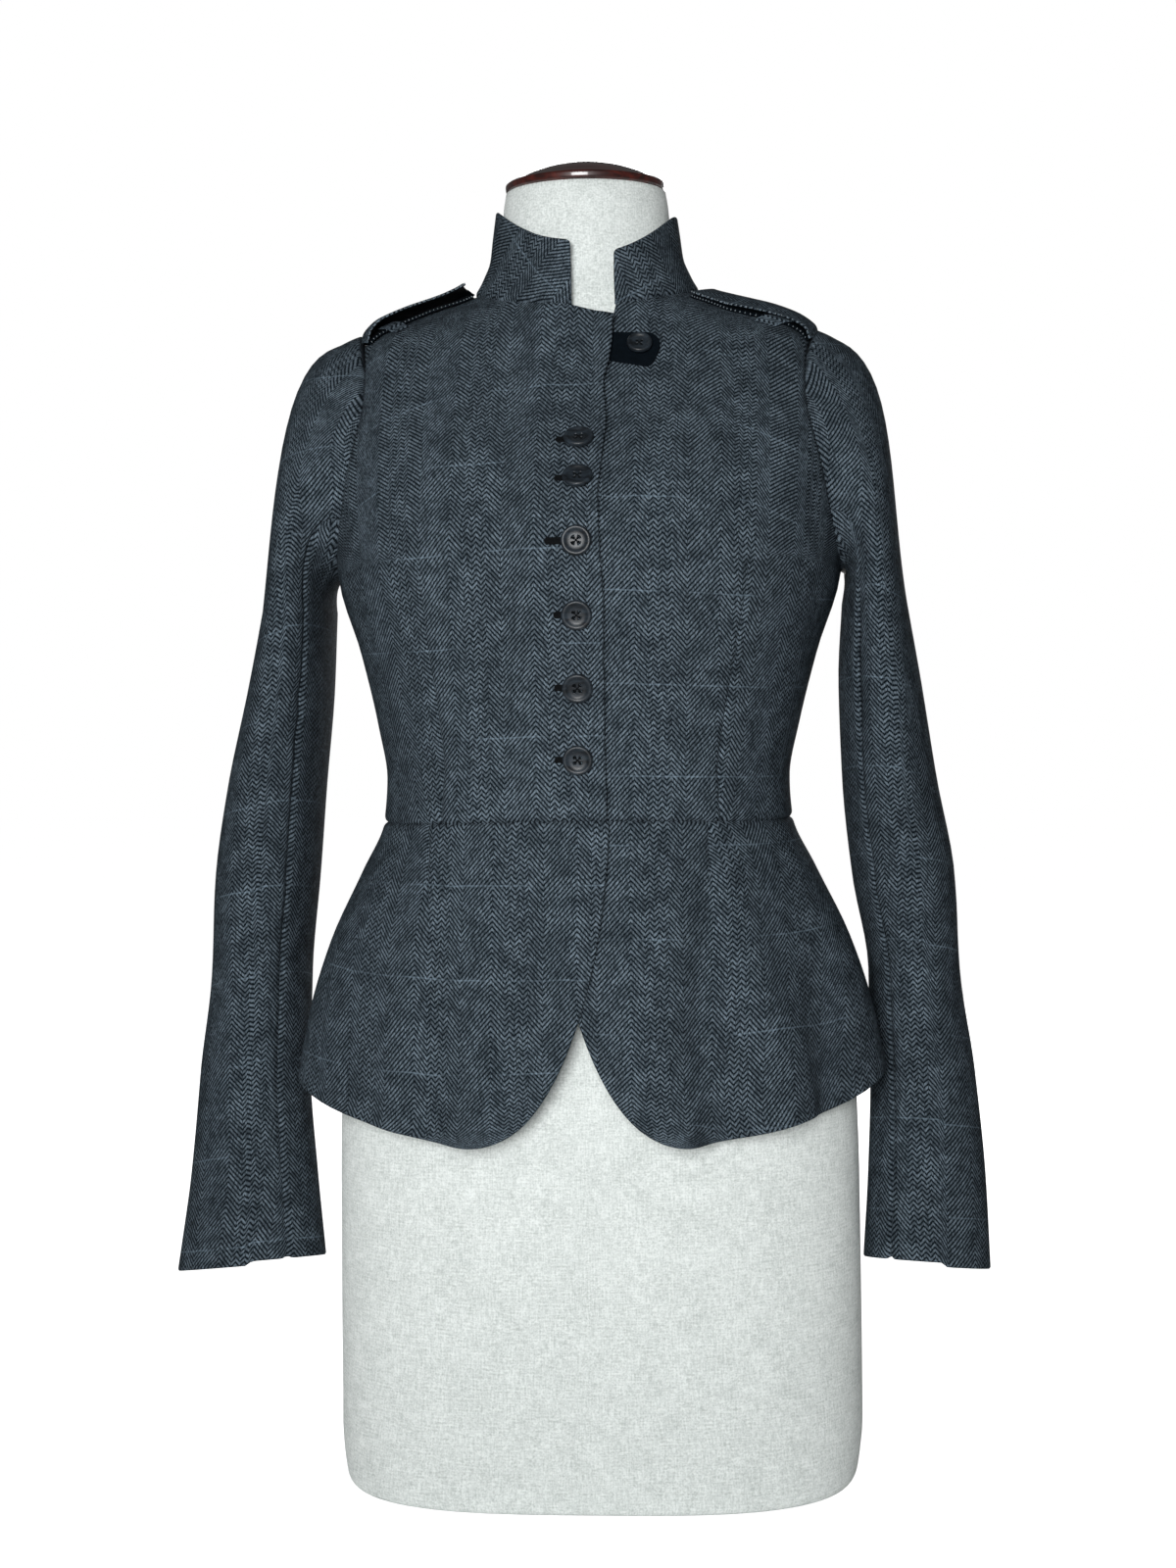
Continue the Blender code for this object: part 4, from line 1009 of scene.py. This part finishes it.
class JACKET_OT_peplum(bpy.types.Operator):
    """Builds the fluted peplum: two fronts with rounded corners and two back halves"""

    bl_idname = "jacket.peplum"
    bl_label = "Peplum"

    def execute(self, context):
        for side, sign in SIDES.items():
            self.front(side, sign)
            self.back(side, sign)
        return {"FINISHED"}

    def front(self, side, sign):
        """One front, from its cut-away edge to the side seam."""
        node = "peplum_front_" + side
        row_level, inner = peplum_edge(crowded(48), sign)
        counts = (26, 30)
        line = np.maximum(dart_angles(DARTS[node], row_level), inner + 0.05)
        angle = two_spans(inner, line, 0.5 * math.pi - half_seam(row_level), counts)
        lift = right_front_lift(sign * angle, row_level[:, None]) if side == "right" else 0.0
        start = inner * ring_at(row_level).front_depth - sign * CLOSURE_SHIFT
        add_panel(node, sign, angle, row_level, start, counts[0], ("last", "foot"), lift)

    def back(self, side, sign):
        """One half of the back, from the centre back seam to the side seam."""
        node = "peplum_back_" + side
        row_level = LEVEL["waist"] * (1.0 - crowded(40))
        seam = half_seam(row_level)
        inner = math.pi - seam
        angle = inner[:, None] + (0.5 * math.pi + seam - inner)[:, None] * crowded(56)[None, :]
        add_panel(node, sign, angle, row_level, 0.0, None, ("first", "last", "foot"))


def armhole_beside(share):
    """Angle and level of the armhole where a sleeve joins it, at a share of the way round the arm."""
    turned = share % 1.0
    back = turned > 0.5
    return armhole(np.where(back, 2.0 * turned - 1.0, 1.0 - 2.0 * turned), back)


def sleeve_surface(side, share, climb):
    """Points of a sleeve: share goes round the arm from its outer side by the front, and climb from the cuff
    (0) by the foot of the sleeve head (1) to the armhole seam (2)."""
    sign = SIDES[side]
    rows = SLEEVE_ROWS[side]
    turn = 2.0 * math.pi * (share % 1.0)
    section = SleeveRow(*np.moveaxis(eased(rows, (len(rows) - 1) * np.clip(climb, 0.0, 1.0)), -1, 0))
    middle = 0.5 * (section.inner + section.outer)
    half_width = 0.5 * (section.outer - section.inner)
    drop = CUFF_SLANT[side] * np.cos(turn) - CUFF_TILT * np.sin(turn)
    drop = drop * (1.0 - smooth(rows[0][0], CUFF_SLANT_END, section.height))
    out = sign * (middle + half_width * np.cos(turn))
    tube = np.stack((out, section.middle_y - section.half_depth * np.sin(turn), section.height - drop), axis=-1)
    angle, level = armhole_beside(share)
    seam = skin(sign * angle, level) + np.array((sign * 2.0 * SEAM_GAP, 0.0, 0.0))
    rise = np.linalg.norm(seam - tube, axis=-1, keepdims=True)
    lean = -sign * HEAD_LEAN * np.cos(turn)[..., None] * rise
    from_foot = tube + np.concatenate((lean, 0.0 * rise, HEAD_STRETCH * rise), axis=-1)
    fullness = sign * CAP_FULLNESS[side] * rise
    from_seam = seam + np.concatenate((fullness, 0.0 * rise, CAP_LIFT[side] * rise), axis=-1)
    t = np.clip(climb - 1.0, 0.0, 1.0)[..., None]
    head = (1.0 - t) ** 3 * tube + 3.0 * t * (1.0 - t) ** 2 * from_foot
    head = head + 3.0 * t * t * (1.0 - t) * from_seam + t**3 * seam
    low, high = CROWN_SPAN
    ramp = np.clip((climb - low) / (high - low), 0.0, 1.0) ** 1.3 * (1.0 - smooth(1.991, 2.0, climb))
    head[..., 2] += CROWN_RISE[side] * ramp * np.clip(np.cos(turn), 0.0, 1.0) ** 3
    return np.where(climb[..., None] > 1.0, head, tube)


def sleeve_normals(side, share, climb):
    """Outward directions of a sleeve, which turn into those of the body at the armhole seam."""
    sign = SIDES[side]
    step = 0.004
    around = sleeve_surface(side, share + step, climb) - sleeve_surface(side, share - step, climb)
    high = np.minimum(climb + step, 2.0)
    low = np.maximum(climb - step, 0.0)
    upward = sleeve_surface(side, share, high) - sleeve_surface(side, share, low)
    normals = unit(np.cross(upward, around) * sign)
    angle, level = armhole_beside(share)
    joined = smooth(1.45, 2.0, climb)[..., None]
    return unit(normals * (1.0 - joined) + skin_normal(sign * angle, level) * joined)


def cuff_hem(side, share, climb):
    """How far the hem of a cuff hangs lower: its outer part is longer, and its seams are drawn up."""
    step = CUFF_STEP_AT[side]
    outer_part = (1.0 - smooth(step - 0.007, step + 0.007, share)) * smooth(-0.26, -0.10, share)
    seam = np.exp(-(((share - FRONT_SLEEVE_SEAM) / 0.008) ** 2))
    seam = seam + np.exp(-(((share % 1.0 - BACK_SLEEVE_SEAM) / 0.008) ** 2))
    longer = CUFF_STEP * outer_part * (1.0 - smooth(0.0, 0.10, climb))
    return longer - CUFF_PUCKER * seam * (1.0 - smooth(0.0, 0.02, climb))


def sleeve_chart(side, places, points, foot):
    """Places of a sleeve piece on the flat cloth. Above the foot row of the sleeve head the columns lean in
    to the armhole, so there each step is split into its level and its climbing part."""
    sign = SIDES[side]
    middle = int(np.argmin(np.abs(places)))
    across = runs(points, 1)
    across = across - across[:, middle : middle + 1]
    along = runs(points, 0)
    steps = np.diff(points[foot:], axis=0)
    around, upward = np.gradient(points, axis=1), np.gradient(points, axis=0)
    normals = unit(np.cross(upward, around) * sign)
    facing = unit(normals[foot:-1] + normals[foot + 1 :])
    level_way = unit(np.cross(facing, np.array((0.0, 0.0, sign))))
    uphill = np.cross(level_way, facing) * sign
    across[foot + 1 :] = across[foot] + np.cumsum((steps * level_way).sum(axis=-1), axis=0)
    along[foot + 1 :] = along[foot] + np.cumsum((steps * uphill).sum(axis=-1), axis=0)
    return np.stack((-sign * across, along), axis=-1) - np.array(STRIPE_SHIFT["sleeve_" + side])


class JACKET_OT_sleeves(bpy.types.Operator):
    """Builds the upper and the under piece of each sleeve"""

    bl_idname = "jacket.sleeves"
    bl_label = "Sleeves"

    def execute(self, context):
        thickness = context.scene.jacket_cloth.wool
        tube = crowded(60, both=False)
        rows = np.concatenate((tube, 1.0 + crowded(30)[1:]))
        spans = {
            "sleeve_upper_": (BACK_SLEEVE_SEAM - 1.0, FRONT_SLEEVE_SEAM, 64),
            "sleeve_under_": (FRONT_SLEEVE_SEAM, BACK_SLEEVE_SEAM, 34),
        }
        for side in SIDES:
            for name, (first, last, count) in spans.items():
                node = name + side
                inside = SLEEVE_MARGIN + (1.0 - 2.0 * SLEEVE_MARGIN) * crowded(count)
                places = first + (last - first) * inside
                share, climb = np.meshgrid(places, rows)
                points = sleeve_surface(side, share, climb)
                points[..., 2] -= cuff_hem(side, share, climb)
                normals = sleeve_normals(side, share, climb)
                chart = sleeve_chart(side, places, points, len(tube) - 1)
                points = points + normals * crease_lift(node, points, normals)[..., None]
                materials = (herringbone_wool(), satin_lining())
                seams = ("first", "last", "head")
                add_sheet(node, points, normals, thickness, seams, chart, materials)
        return {"FINISHED"}


def collar_height(angle):
    """Level of the collar's top edge, which drops on the wearer's left towards the front."""
    turned = np.degrees(angle)
    drop = COLLAR_SIDE_DROP * (1.0 - smooth(90.0, 180.0, turned))
    drop = drop + (COLLAR_END_DROP - COLLAR_SIDE_DROP) * (1.0 - smooth(18.0, 90.0, turned))
    return LEVEL["collar_top"] - drop / COLLAR_RING_STEP


class JACKET_OT_collar(bpy.types.Operator):
    """Builds the standing collar, whose ends stop short of each other in front"""

    bl_idname = "jacket.collar"
    bl_label = "Collar"

    def execute(self, context):
        share, climb = np.meshgrid(crowded(150), crowded(26))
        start = front_angle(COLLAR_END_LEFT, LEVEL["collar_low"])
        end = 2.0 * math.pi + front_angle(COLLAR_END_RIGHT, LEVEL["collar_low"])
        angle = start + (end - start) * share
        foot = LEVEL["neck"] + 0.5 * SEAM_GAP / COLLAR_FOOT_STEP
        level = foot + (collar_height(angle) - foot) * climb
        # The upper corners of the two ends are rounded.
        from_end = np.minimum(share, 1.0 - share) * (end - start) * COLLAR_RADIUS
        bare = 1.0 - np.clip(from_end / COLLAR_CORNER, 0.0, 1.0)
        cut_off = COLLAR_CORNER * (1.0 - np.sqrt(1.0 - bare**2)) / COLLAR_RING_STEP
        level = level - cut_off * smooth(0.5, 1.0, climb)
        lift = np.where(angle > math.pi, right_front_lift(angle - 2.0 * math.pi, level), 0.0)
        points, normals = off_skin(angle, level, lift)
        across = runs(points, 1)
        along = runs(points, 0)
        charts = []
        for lean, shift, end_column in COLLAR_CUTS:
            turn = math.radians(lean)
            from_end = across - across[:, end_column][:, None]
            slanted = math.cos(turn) * from_end + math.sin(turn) * along + shift
            charts.append(np.stack((slanted, math.cos(turn) * along - math.sin(turn) * from_end), axis=-1))
        thickness = context.scene.jacket_cloth.band
        middle = across.shape[1] // 2
        wool = (herringbone_wool(),)
        add_sheet("collar", points, normals, thickness, ("foot",), charts[0], wool, middle, charts[1])
        return {"FINISHED"}


def strap_places(side, level, across):
    """Angle on the shoulder at a distance forward of the strap's middle line."""
    lie = STRAP_LIES[side]
    turn = lie.tip_turn + (lie.turn - lie.tip_turn) * smooth(11.0, 12.1, level)
    return SIDES[side] * (np.radians(90.0 - turn) - across / ring_at(level).half_width)


def add_stitches(name, points, directions, normals, length, width, material):
    """A row of small stitches that lie along these directions."""
    row = bmesh.new()
    for point, direction, normal in zip(points, directions, normals):
        side = np.cross(normal, direction)
        turn = Matrix((direction, side, normal)).transposed().to_4x4()
        size = Matrix.Diagonal((0.5 * length, 0.5 * width, 0.35 * width, 1.0))
        place = Matrix.Translation(Vector(point)) @ turn @ size
        bmesh.ops.create_uvsphere(row, u_segments=6, v_segments=4, radius=1.0, matrix=place)
    finish_piece(name, row, (material,))


class JACKET_OT_epaulettes(bpy.types.Operator):
    """Builds two straps along each shoulder, one over the other, and the loop that holds the lower one"""

    bl_idname = "jacket.epaulettes"
    bl_label = "Epaulettes"

    def execute(self, context):
        black = navy_ribbon()
        for side in SIDES:
            # Painted shade: the lower strap is drawn all in the near-black ribbon to stand for the shade in the
            # gap under the upper strap; the upper strap's underside is partly a dark facing and partly painted
            # shade.
            self.strap(BASE_STRAP, side, (black, black))
            self.strap(UPPER_STRAP, side, (herringbone_wool(), black))
            self.loop(side)
        return {"FINISHED"}

    def strap(self, strap, side, materials):
        """One strap with a row of stitches over each long edge."""
        thickness = bpy.context.scene.jacket_cloth.strap
        across, share = np.meshgrid(strap.half_width * (2.0 * crowded(24) - 1.0), crowded(44))
        level, lift = self.path(strap, side, share, across)
        angle = strap_places(side, level, across)
        points, normals = off_skin(angle, level, lift)
        chart = np.stack((-SIDES[side] * across, runs(points, 0)), axis=-1)
        add_sheet(strap.name + "_" + side, points, normals, thickness, (), chart, materials)
        stitch = thread("silk_thread_pale_twisted", bpy.context.scene.jacket_trims.tick)
        for edge, label in ((1.0, "front"), (-1.0, "back")):
            places = np.linspace(0.02, 0.98, STITCH_COUNT)
            beside = np.full(places.shape, edge * (strap.half_width - 0.0002))
            level, lift = self.path(strap, side, places, beside)
            angle = strap_places(side, level, beside)
            seats, normals = off_skin(angle, level, lift + 0.2 * thickness)
            ahead = unit(np.gradient(seats, axis=0))
            outward = np.cross(ahead, normals)
            name = f"stitches_{strap.name}_{side}_{label}"
            add_stitches(name, seats, normals, outward, 0.9 * thickness, STITCH_WIDTH, stitch)

    def path(self, strap, side, share, across):
        """Level and lift of places on a strap. The back edge of the upper one lies down on the lower one."""
        lie = STRAP_LIES[side]
        forward = across / strap.half_width
        level = strap.start + (lie.end - strap.short - strap.start) * share
        level = level - lie.slant * (1.0 - share) ** 2 * 0.5 * (1.0 + forward)
        sunk = strap.sewn * (1.0 - smooth(0.0, 0.07, share))
        if strap is BASE_STRAP:
            return level, strap.lift - sunk
        rise = STRAP_BULGE * smooth(0.0, 0.1, share) * (1.0 - smooth(0.4, 0.75, share))
        back = lie.back_rise * (1.0 - smooth(-0.2, 1.0, forward)) * smooth(0.0, 0.25, share)
        rise = rise + back * (1.0 - smooth(0.5, 1.0, share))
        rise = rise + lie.front_rise * smooth(-0.6, 1.0, forward) * smooth(0.0, 0.2, share)
        rise = rise + lie.end_rise * smooth(0.55, 1.0, share)
        return level, strap.lift + rise * smooth(-1.0, -0.6, forward) - sunk

    def loop(self, side):
        """The loop of cloth over the lower strap."""
        cloth = bpy.context.scene.jacket_cloth
        across, share = np.meshgrid(LOOP_HALF_WIDTH * np.linspace(-1.0, 1.0, 61), crowded(10))
        low, high = LOOP_LEVELS[side]
        level = low + (high - low) * share
        over = BASE_STRAP.lift + 0.5 * cloth.strap + SEAM_GAP + 0.5 * cloth.loop
        beside = 0.5 * cloth.wool + SEAM_GAP + 0.5 * cloth.loop
        past = smooth(BASE_STRAP.half_width + 0.0006, LOOP_HALF_WIDTH - 0.001, np.abs(across))
        angle = strap_places(side, level, across)
        points, normals = off_skin(angle, level, over + (beside - over) * past)
        chart = np.stack((-SIDES[side] * across, runs(points, 0)), axis=-1)
        add_sheet("epaulette_loop_" + side, points, normals, cloth.loop, (), chart, (herringbone_wool(),))


class JACKET_OT_neck_tab(bpy.types.Operator):
    """Builds the dark ribbon tab that comes out from under the right front"""

    bl_idname = "jacket.neck_tab"
    bl_label = "Neck tab"

    def execute(self, context):
        cloth = context.scene.jacket_cloth
        share, upward = np.meshgrid(crowded(40), 2.0 * crowded(24) - 1.0)
        rounding = np.sqrt(1.0 - (0.94 * upward) ** 2) - 1.0
        reach = TAB_END + rounding * TAB_HALF_HEIGHT
        level = TAB_LEVEL + TAB_HALF_HEIGHT / TAB_LEVEL_HEIGHT * upward
        level = level + TAB_SLOPE[0] + (TAB_SLOPE[1] - TAB_SLOPE[0]) * share
        angle = front_angle(TAB_START + (reach - TAB_START) * share, level)
        lift = np.full(angle.shape, 0.5 * cloth.wool + SEAM_GAP + 0.5 * cloth.tab)
        points, normals = off_skin(angle, level, lift)
        chart = np.stack((runs(points, 1), runs(points, 0)), axis=-1)
        add_sheet("neck_tab", points, normals, cloth.tab, (), chart, (navy_ribbon(),))
        return {"FINISHED"}


# A button's section from the middle of its underside round the rim to the middle of its dish, against its
# radius and height.
BUTTON_SECTION = (
    (0.0, 0.0), (0.80, 0.0), (0.95, 0.16), (1.0, 0.46), (0.985, 0.74), (0.93, 0.94), (0.86, 1.0),
    (0.78, 0.97), (0.71, 0.86), (0.64, 0.73), (0.55, 0.66), (0.40, 0.62), (0.0, 0.60),
)
# Degrees by which some buttons hang over.
BUTTON_TILT = {"button_1": -14.0, "button_2": -16.0, "button_neck": -12.0}
LONG_HOLE = {"buttonhole_3": 0.0050}  # the third one is drawn out longer than the rest
HOLE_RADIUS = 0.0011  # of the holes in a button
HOLE_RING = 0.27  # of the ring on which they lie, against the button's
CROSS_THREAD = (0.0006, 0.0005)  # half width and height of the thread that crosses in them
WORKED_STITCH = 0.0007  # half the thickness of a buttonhole's rim
WORKED_RADIUS = 0.0013  # of its rounded ends
WORKED_END = 0.002  # how far it reaches past their middles
SLIT_RADIUS = 0.0012


def spin_round(shape, geom, steps, apart):
    """Spins a section once round the Z axis into a surface that is joined up and points outwards."""
    middle, axis = (0.0, 0.0, 0.0), (0.0, 0.0, 1.0)
    bmesh.ops.spin(shape, geom=geom, cent=middle, axis=axis, angle=2.0 * math.pi, steps=steps, use_merge=True)
    bmesh.ops.remove_doubles(shape, verts=shape.verts, dist=apart)
    bmesh.ops.recalc_face_normals(shape, faces=shape.faces)


def spun_button(trims):
    """The mesh of one button at the origin, with its four holes cut and the thread that crosses in them."""
    turned = bmesh.new()
    corners = [
        turned.verts.new((trims.button_radius * radius, 0.0, trims.button_height * height))
        for radius, height in BUTTON_SECTION
    ]
    edges = [turned.edges.new(pair) for pair in zip(corners, corners[1:])]
    spin_round(turned, corners + edges, 48, 1e-6)
    drills = bmesh.new()
    hole_ring = HOLE_RING * trims.button_radius
    drill = {"cap_ends": True, "segments": 16, "radius1": HOLE_RADIUS, "radius2": HOLE_RADIUS}
    for number in range(4):
        turn = math.radians(45.0 + 90.0 * number)
        seat = Matrix.Translation((hole_ring * math.cos(turn), hole_ring * math.sin(turn), 0.0))
        bmesh.ops.create_cone(drills, depth=4.0 * trims.button_height, matrix=seat, **drill)
    plain = place_object("button_blank", mesh_of("button_blank", turned))
    cutter = place_object("button_drills", mesh_of("button_drills", drills))
    cut = plain.modifiers.new("holes", "BOOLEAN")
    cut.operation = "DIFFERENCE"
    cut.object = cutter
    drilled = bmesh.new()
    bpy.context.view_layer.update()
    drilled.from_object(plain, bpy.context.evaluated_depsgraph_get())
    for item in (plain, cutter):
        bpy.data.objects.remove(item)
    faces_before = set(drilled.faces)
    for turn in (45.0, 135.0):
        lying = Matrix.Rotation(math.radians(turn), 4, "Z")
        size = Matrix.Diagonal((1.35 * hole_ring, *CROSS_THREAD, 1.0))
        place = Matrix.Translation((0.0, 0.0, 0.50 * trims.button_height)) @ lying @ size
        bmesh.ops.create_uvsphere(drilled, u_segments=12, v_segments=8, radius=1.0, matrix=place)
    for face in drilled.faces:
        face.material_index = 0 if face in faces_before else 1
    return drilled


class JACKET_OT_buttons(bpy.types.Operator):
    """Builds the buttons down the front, the one on the neck tab, and the worked buttonholes"""

    bl_idname = "jacket.buttons"
    bl_label = "Buttons"

    def execute(self, context):
        trims = context.scene.jacket_trims
        cloth = context.scene.jacket_cloth
        twist = thread("silk_thread_black_twisted", trims.twist)
        model = mesh_of("button_model", spun_button(trims))
        for number, height in enumerate(BUTTON_HEIGHTS, 1):
            level = front_level(height)
            angle = float(front_angle(0.0, level))
            lift = float(right_front_lift(angle, level)) + 0.5 * cloth.wool + 2.0 * SEAM_GAP
            self.button(f"button_{number}", model, angle, level, lift, twist)
            self.buttonhole(f"buttonhole_{number}", level, trims, cloth, twist)
        angle = float(front_angle(NECK_BUTTON_AT, TAB_LEVEL))
        lift = 0.5 * cloth.wool + cloth.tab + 4.0 * SEAM_GAP
        self.button("button_neck", model, angle, TAB_LEVEL, lift, twist, NECK_BUTTON_SCALE)
        bpy.data.meshes.remove(model)
        return {"FINISHED"}

    def button(self, name, model, angle, level, lift, twist, scale=1.0):
        """A copy of the button, turned to lie on the cloth."""
        shape = bmesh.new()
        shape.from_mesh(model)
        seat, outward = (Vector(way) for way in off_skin(angle, level, lift))
        turn = Vector((0.0, 0.0, 1.0)).rotation_difference(outward).to_matrix().to_4x4()
        tilt = Matrix.Rotation(math.radians(BUTTON_TILT.get(name, 0.0)), 4, "X")
        size = Matrix.Diagonal((scale, scale, 1.0, 1.0))
        bmesh.ops.transform(shape, matrix=Matrix.Translation(seat) @ tilt @ turn @ size, verts=shape.verts)
        finish_piece("horn_" + name, shape, (polished_horn(), twist), name)

    def buttonhole(self, name, level, trims, cloth, twist):
        """A worked keyhole: a raised stitched rim round a slit, on the right front beside its button."""
        worked = bmesh.new()
        bmesh.ops.create_circle(worked, segments=8, radius=WORKED_STITCH)
        bmesh.ops.rotate(worked, verts=worked.verts, matrix=Matrix.Rotation(0.5 * math.pi, 3, "X"))
        bmesh.ops.translate(worked, verts=worked.verts, vec=(WORKED_RADIUS, 0.0, 0.0))
        # Turned a little, so that no corner lies where the two ends are drawn apart.
        aside = Matrix.Rotation(0.04, 3, "Z")
        bmesh.ops.rotate(worked, verts=worked.verts, matrix=aside)
        spin_round(worked, worked.verts[:] + worked.edges[:], 30, 1e-7)
        # Painted shade: the slit is closed with a flat strip of the black twist, which stands for the shade in
        # the open keyhole.
        slit = bmesh.ops.create_circle(worked, cap_ends=True, segments=30, radius=SLIT_RADIUS)["verts"]
        bmesh.ops.rotate(worked, verts=slit, matrix=aside)
        seated = 0.5 * cloth.wool + SEAM_GAP
        length = trims.hole_length + LONG_HOLE.get(name, 0.0)
        for vert in worked.verts:
            along, upward, out = vert.co
            eye = 1.0 + 0.18 * smooth(0.0, 0.0008, -along)
            along = eye * along + math.copysign(0.5 * length - WORKED_END, along)
            place_level = level + eye * upward / self.level_height(level)
            angle = float(front_angle(along - 0.5 * length + WORKED_END, place_level))
            lift = float(right_front_lift(angle, place_level)) + seated + 0.6 * out
            vert.co, _ = off_skin(angle, place_level, lift)
        bmesh.ops.recalc_face_normals(worked, faces=worked.faces)
        finish_piece(name, worked, (twist,))

    def level_height(self, level):
        """Length of cloth down the front in one level, at this level."""
        low = skin(0.0, level - 0.05)
        high = skin(0.0, level + 0.05)
        return float(np.linalg.norm(high - low)) / 0.1


KEY_PLACE = (-0.14, -1.95, 0.70)
FILL_PLACE = (0.30, 2.10, 0.90)
LIGHT_AIM = Vector((0.0, 0.0, 0.50))
FRAME_SHIFT = (-0.0031, -0.075)  # of the camera's frame, in its widths


class JACKET_OT_stage(bpy.types.Operator):
    """Sets the pale floor, the soft light and the camera"""

    bl_idname = "jacket.stage"
    bl_label = "Stage"

    def execute(self, context):
        stage = context.scene.jacket_stage
        self.floor(stage)
        self.light(context.scene, stage)
        self.camera(context.scene, stage)
        context.scene.view_settings.view_transform = "Standard"
        return {"FINISHED"}

    def floor(self, stage):
        """A broad sheet of matt white paper under the form."""
        paper = bmesh.new()
        bmesh.ops.create_grid(paper, x_segments=4, y_segments=4, size=7.0)
        bmesh.ops.translate(paper, verts=paper.verts, vec=(0.0, 0.0, FLOOR_LEVEL - 0.0005))
        finish = {"Roughness": 0.95, "Specular_IOR_Level": 0.1, "Emission_Color": stage.floor}
        material, add = new_material("paper_matt_white", **finish)
        pulp = add("TexNoise", {"Vector": add("TexCoord", out="Object"), "Scale": 1.0 / 0.3, "Detail": 2.0})
        colour = add("Mix", {0: pulp, 6: stage.floor, 7: toned(stage.floor, 0.97)}, out=2, data_type="RGBA")
        # The paper is lit from behind to white it out, which must not light the jacket from below.
        seen = add("LightPath", out="Is Camera Ray")
        glow = add("Math", (seen, stage.floor_glow), operation="MULTIPLY")
        link_surface(material, Base_Color=colour, Emission_Strength=glow)
        mesh = mesh_of("floor", paper)
        mesh.materials.append(material)
        place_object("floor", mesh)

    def light(self, scene, stage):
        """A white surround that is darker overhead, a soft light in front and a weak one behind."""
        world = bpy.data.worlds.new("studio")
        scene.world = world
        world.use_nodes = True
        tree = world.node_tree
        add = partial(add_node, tree)
        white = (1.0, 1.0, 1.0, 1.0)
        height = add("SeparateXYZ", (add("TexCoord", out="Generated"),), out=2)
        glow = add("MapRange", (height, 0.1, 0.9, 0.085, 0.07))
        surround = add("Background", {"Color": white, "Strength": glow})
        backdrop = add("Background", {"Color": white, "Strength": 1.0})
        mixed = add("MixShader", (add("LightPath", out="Is Camera Ray"), surround, backdrop))
        tree.links.new(mixed, tree.nodes["World Output"].inputs["Surface"])
        key = bpy.data.lights.new("front_softbox", "AREA")
        key.size = 0.8
        key.spread = math.radians(64.0)  # a beam that falls off towards the collar and the cuffs
        key.energy = stage.key_power
        fill = bpy.data.lights.new("back_softbox", "AREA")
        fill.size = 1.2
        fill.energy = stage.fill_power
        for light, place in ((key, KEY_PLACE), (fill, FILL_PLACE)):
            lamp = place_object(light.name, light)
            lamp.location = place
            lamp.rotation_euler = (LIGHT_AIM - lamp.location).to_track_quat("-Z", "Y").to_euler()
            lamp.visible_camera = False

    def camera(self, scene, stage):
        """The camera of the photograph: level, in front of the form, with its frame moved down."""
        lens = bpy.data.cameras.new("camera")
        lens.sensor_width = 36.0
        lens.lens = stage.lens
        lens.shift_x, lens.shift_y = FRAME_SHIFT
        camera = place_object("camera", lens)
        away = Vector((math.sin(stage.azimuth), -math.cos(stage.azimuth), 0.0))
        camera.location = away * stage.distance + Vector((0.0, 0.0, stage.eye_height))
        turn = (-away).to_track_quat("-Z", "Y").to_matrix() @ Matrix.Rotation(-stage.roll, 3, "Z")
        camera.rotation_euler = turn.to_euler()
        scene.camera = camera


class JACKET_PT_sidebar(bpy.types.Panel):
    """Lists the jacket's sizes, colours and pieces"""

    bl_idname = "JACKET_PT_sidebar"
    bl_label = "Peplum jacket"
    bl_space_type = "VIEW_3D"
    bl_region_type = "UI"
    bl_category = "Jacket"

    def draw(self, context):
        for holder, group in SETTINGS.items():
            settings = getattr(context.scene, holder)
            for name in group.__annotations__:
                self.layout.prop(settings, name)
        for operator in PIECES:
            self.layout.operator(operator.bl_idname)


SETTINGS = {
    "jacket_cloth": JacketCloth,
    "dress_form_finish": DressFormFinish,
    "jacket_trims": JacketTrims,
    "jacket_stage": JacketStage,
}
PIECES = (
    JACKET_OT_stage,
    JACKET_OT_dress_form,
    JACKET_OT_bodice,
    JACKET_OT_peplum,
    JACKET_OT_sleeves,
    JACKET_OT_collar,
    JACKET_OT_epaulettes,
    JACKET_OT_neck_tab,
    JACKET_OT_buttons,
)


def register():
    """Makes the settings, operators and panel known."""
    for holder, group in SETTINGS.items():
        bpy.utils.register_class(group)
        setattr(bpy.types.Scene, holder, bpy.props.PointerProperty(type=group))
    for operator in PIECES:
        bpy.utils.register_class(operator)
    bpy.utils.register_class(JACKET_PT_sidebar)


def unregister():
    """Takes them away again."""
    bpy.utils.unregister_class(JACKET_PT_sidebar)
    for operator in reversed(PIECES):
        bpy.utils.unregister_class(operator)
    for holder, group in SETTINGS.items():
        delattr(bpy.types.Scene, holder)
        bpy.utils.unregister_class(group)


def main():
    """Builds the stage and every piece."""
    register()
    for operator in PIECES:
        group, name = operator.bl_idname.split(".")
        getattr(getattr(bpy.ops, group), name)()


if __name__ == "__main__":
    main()
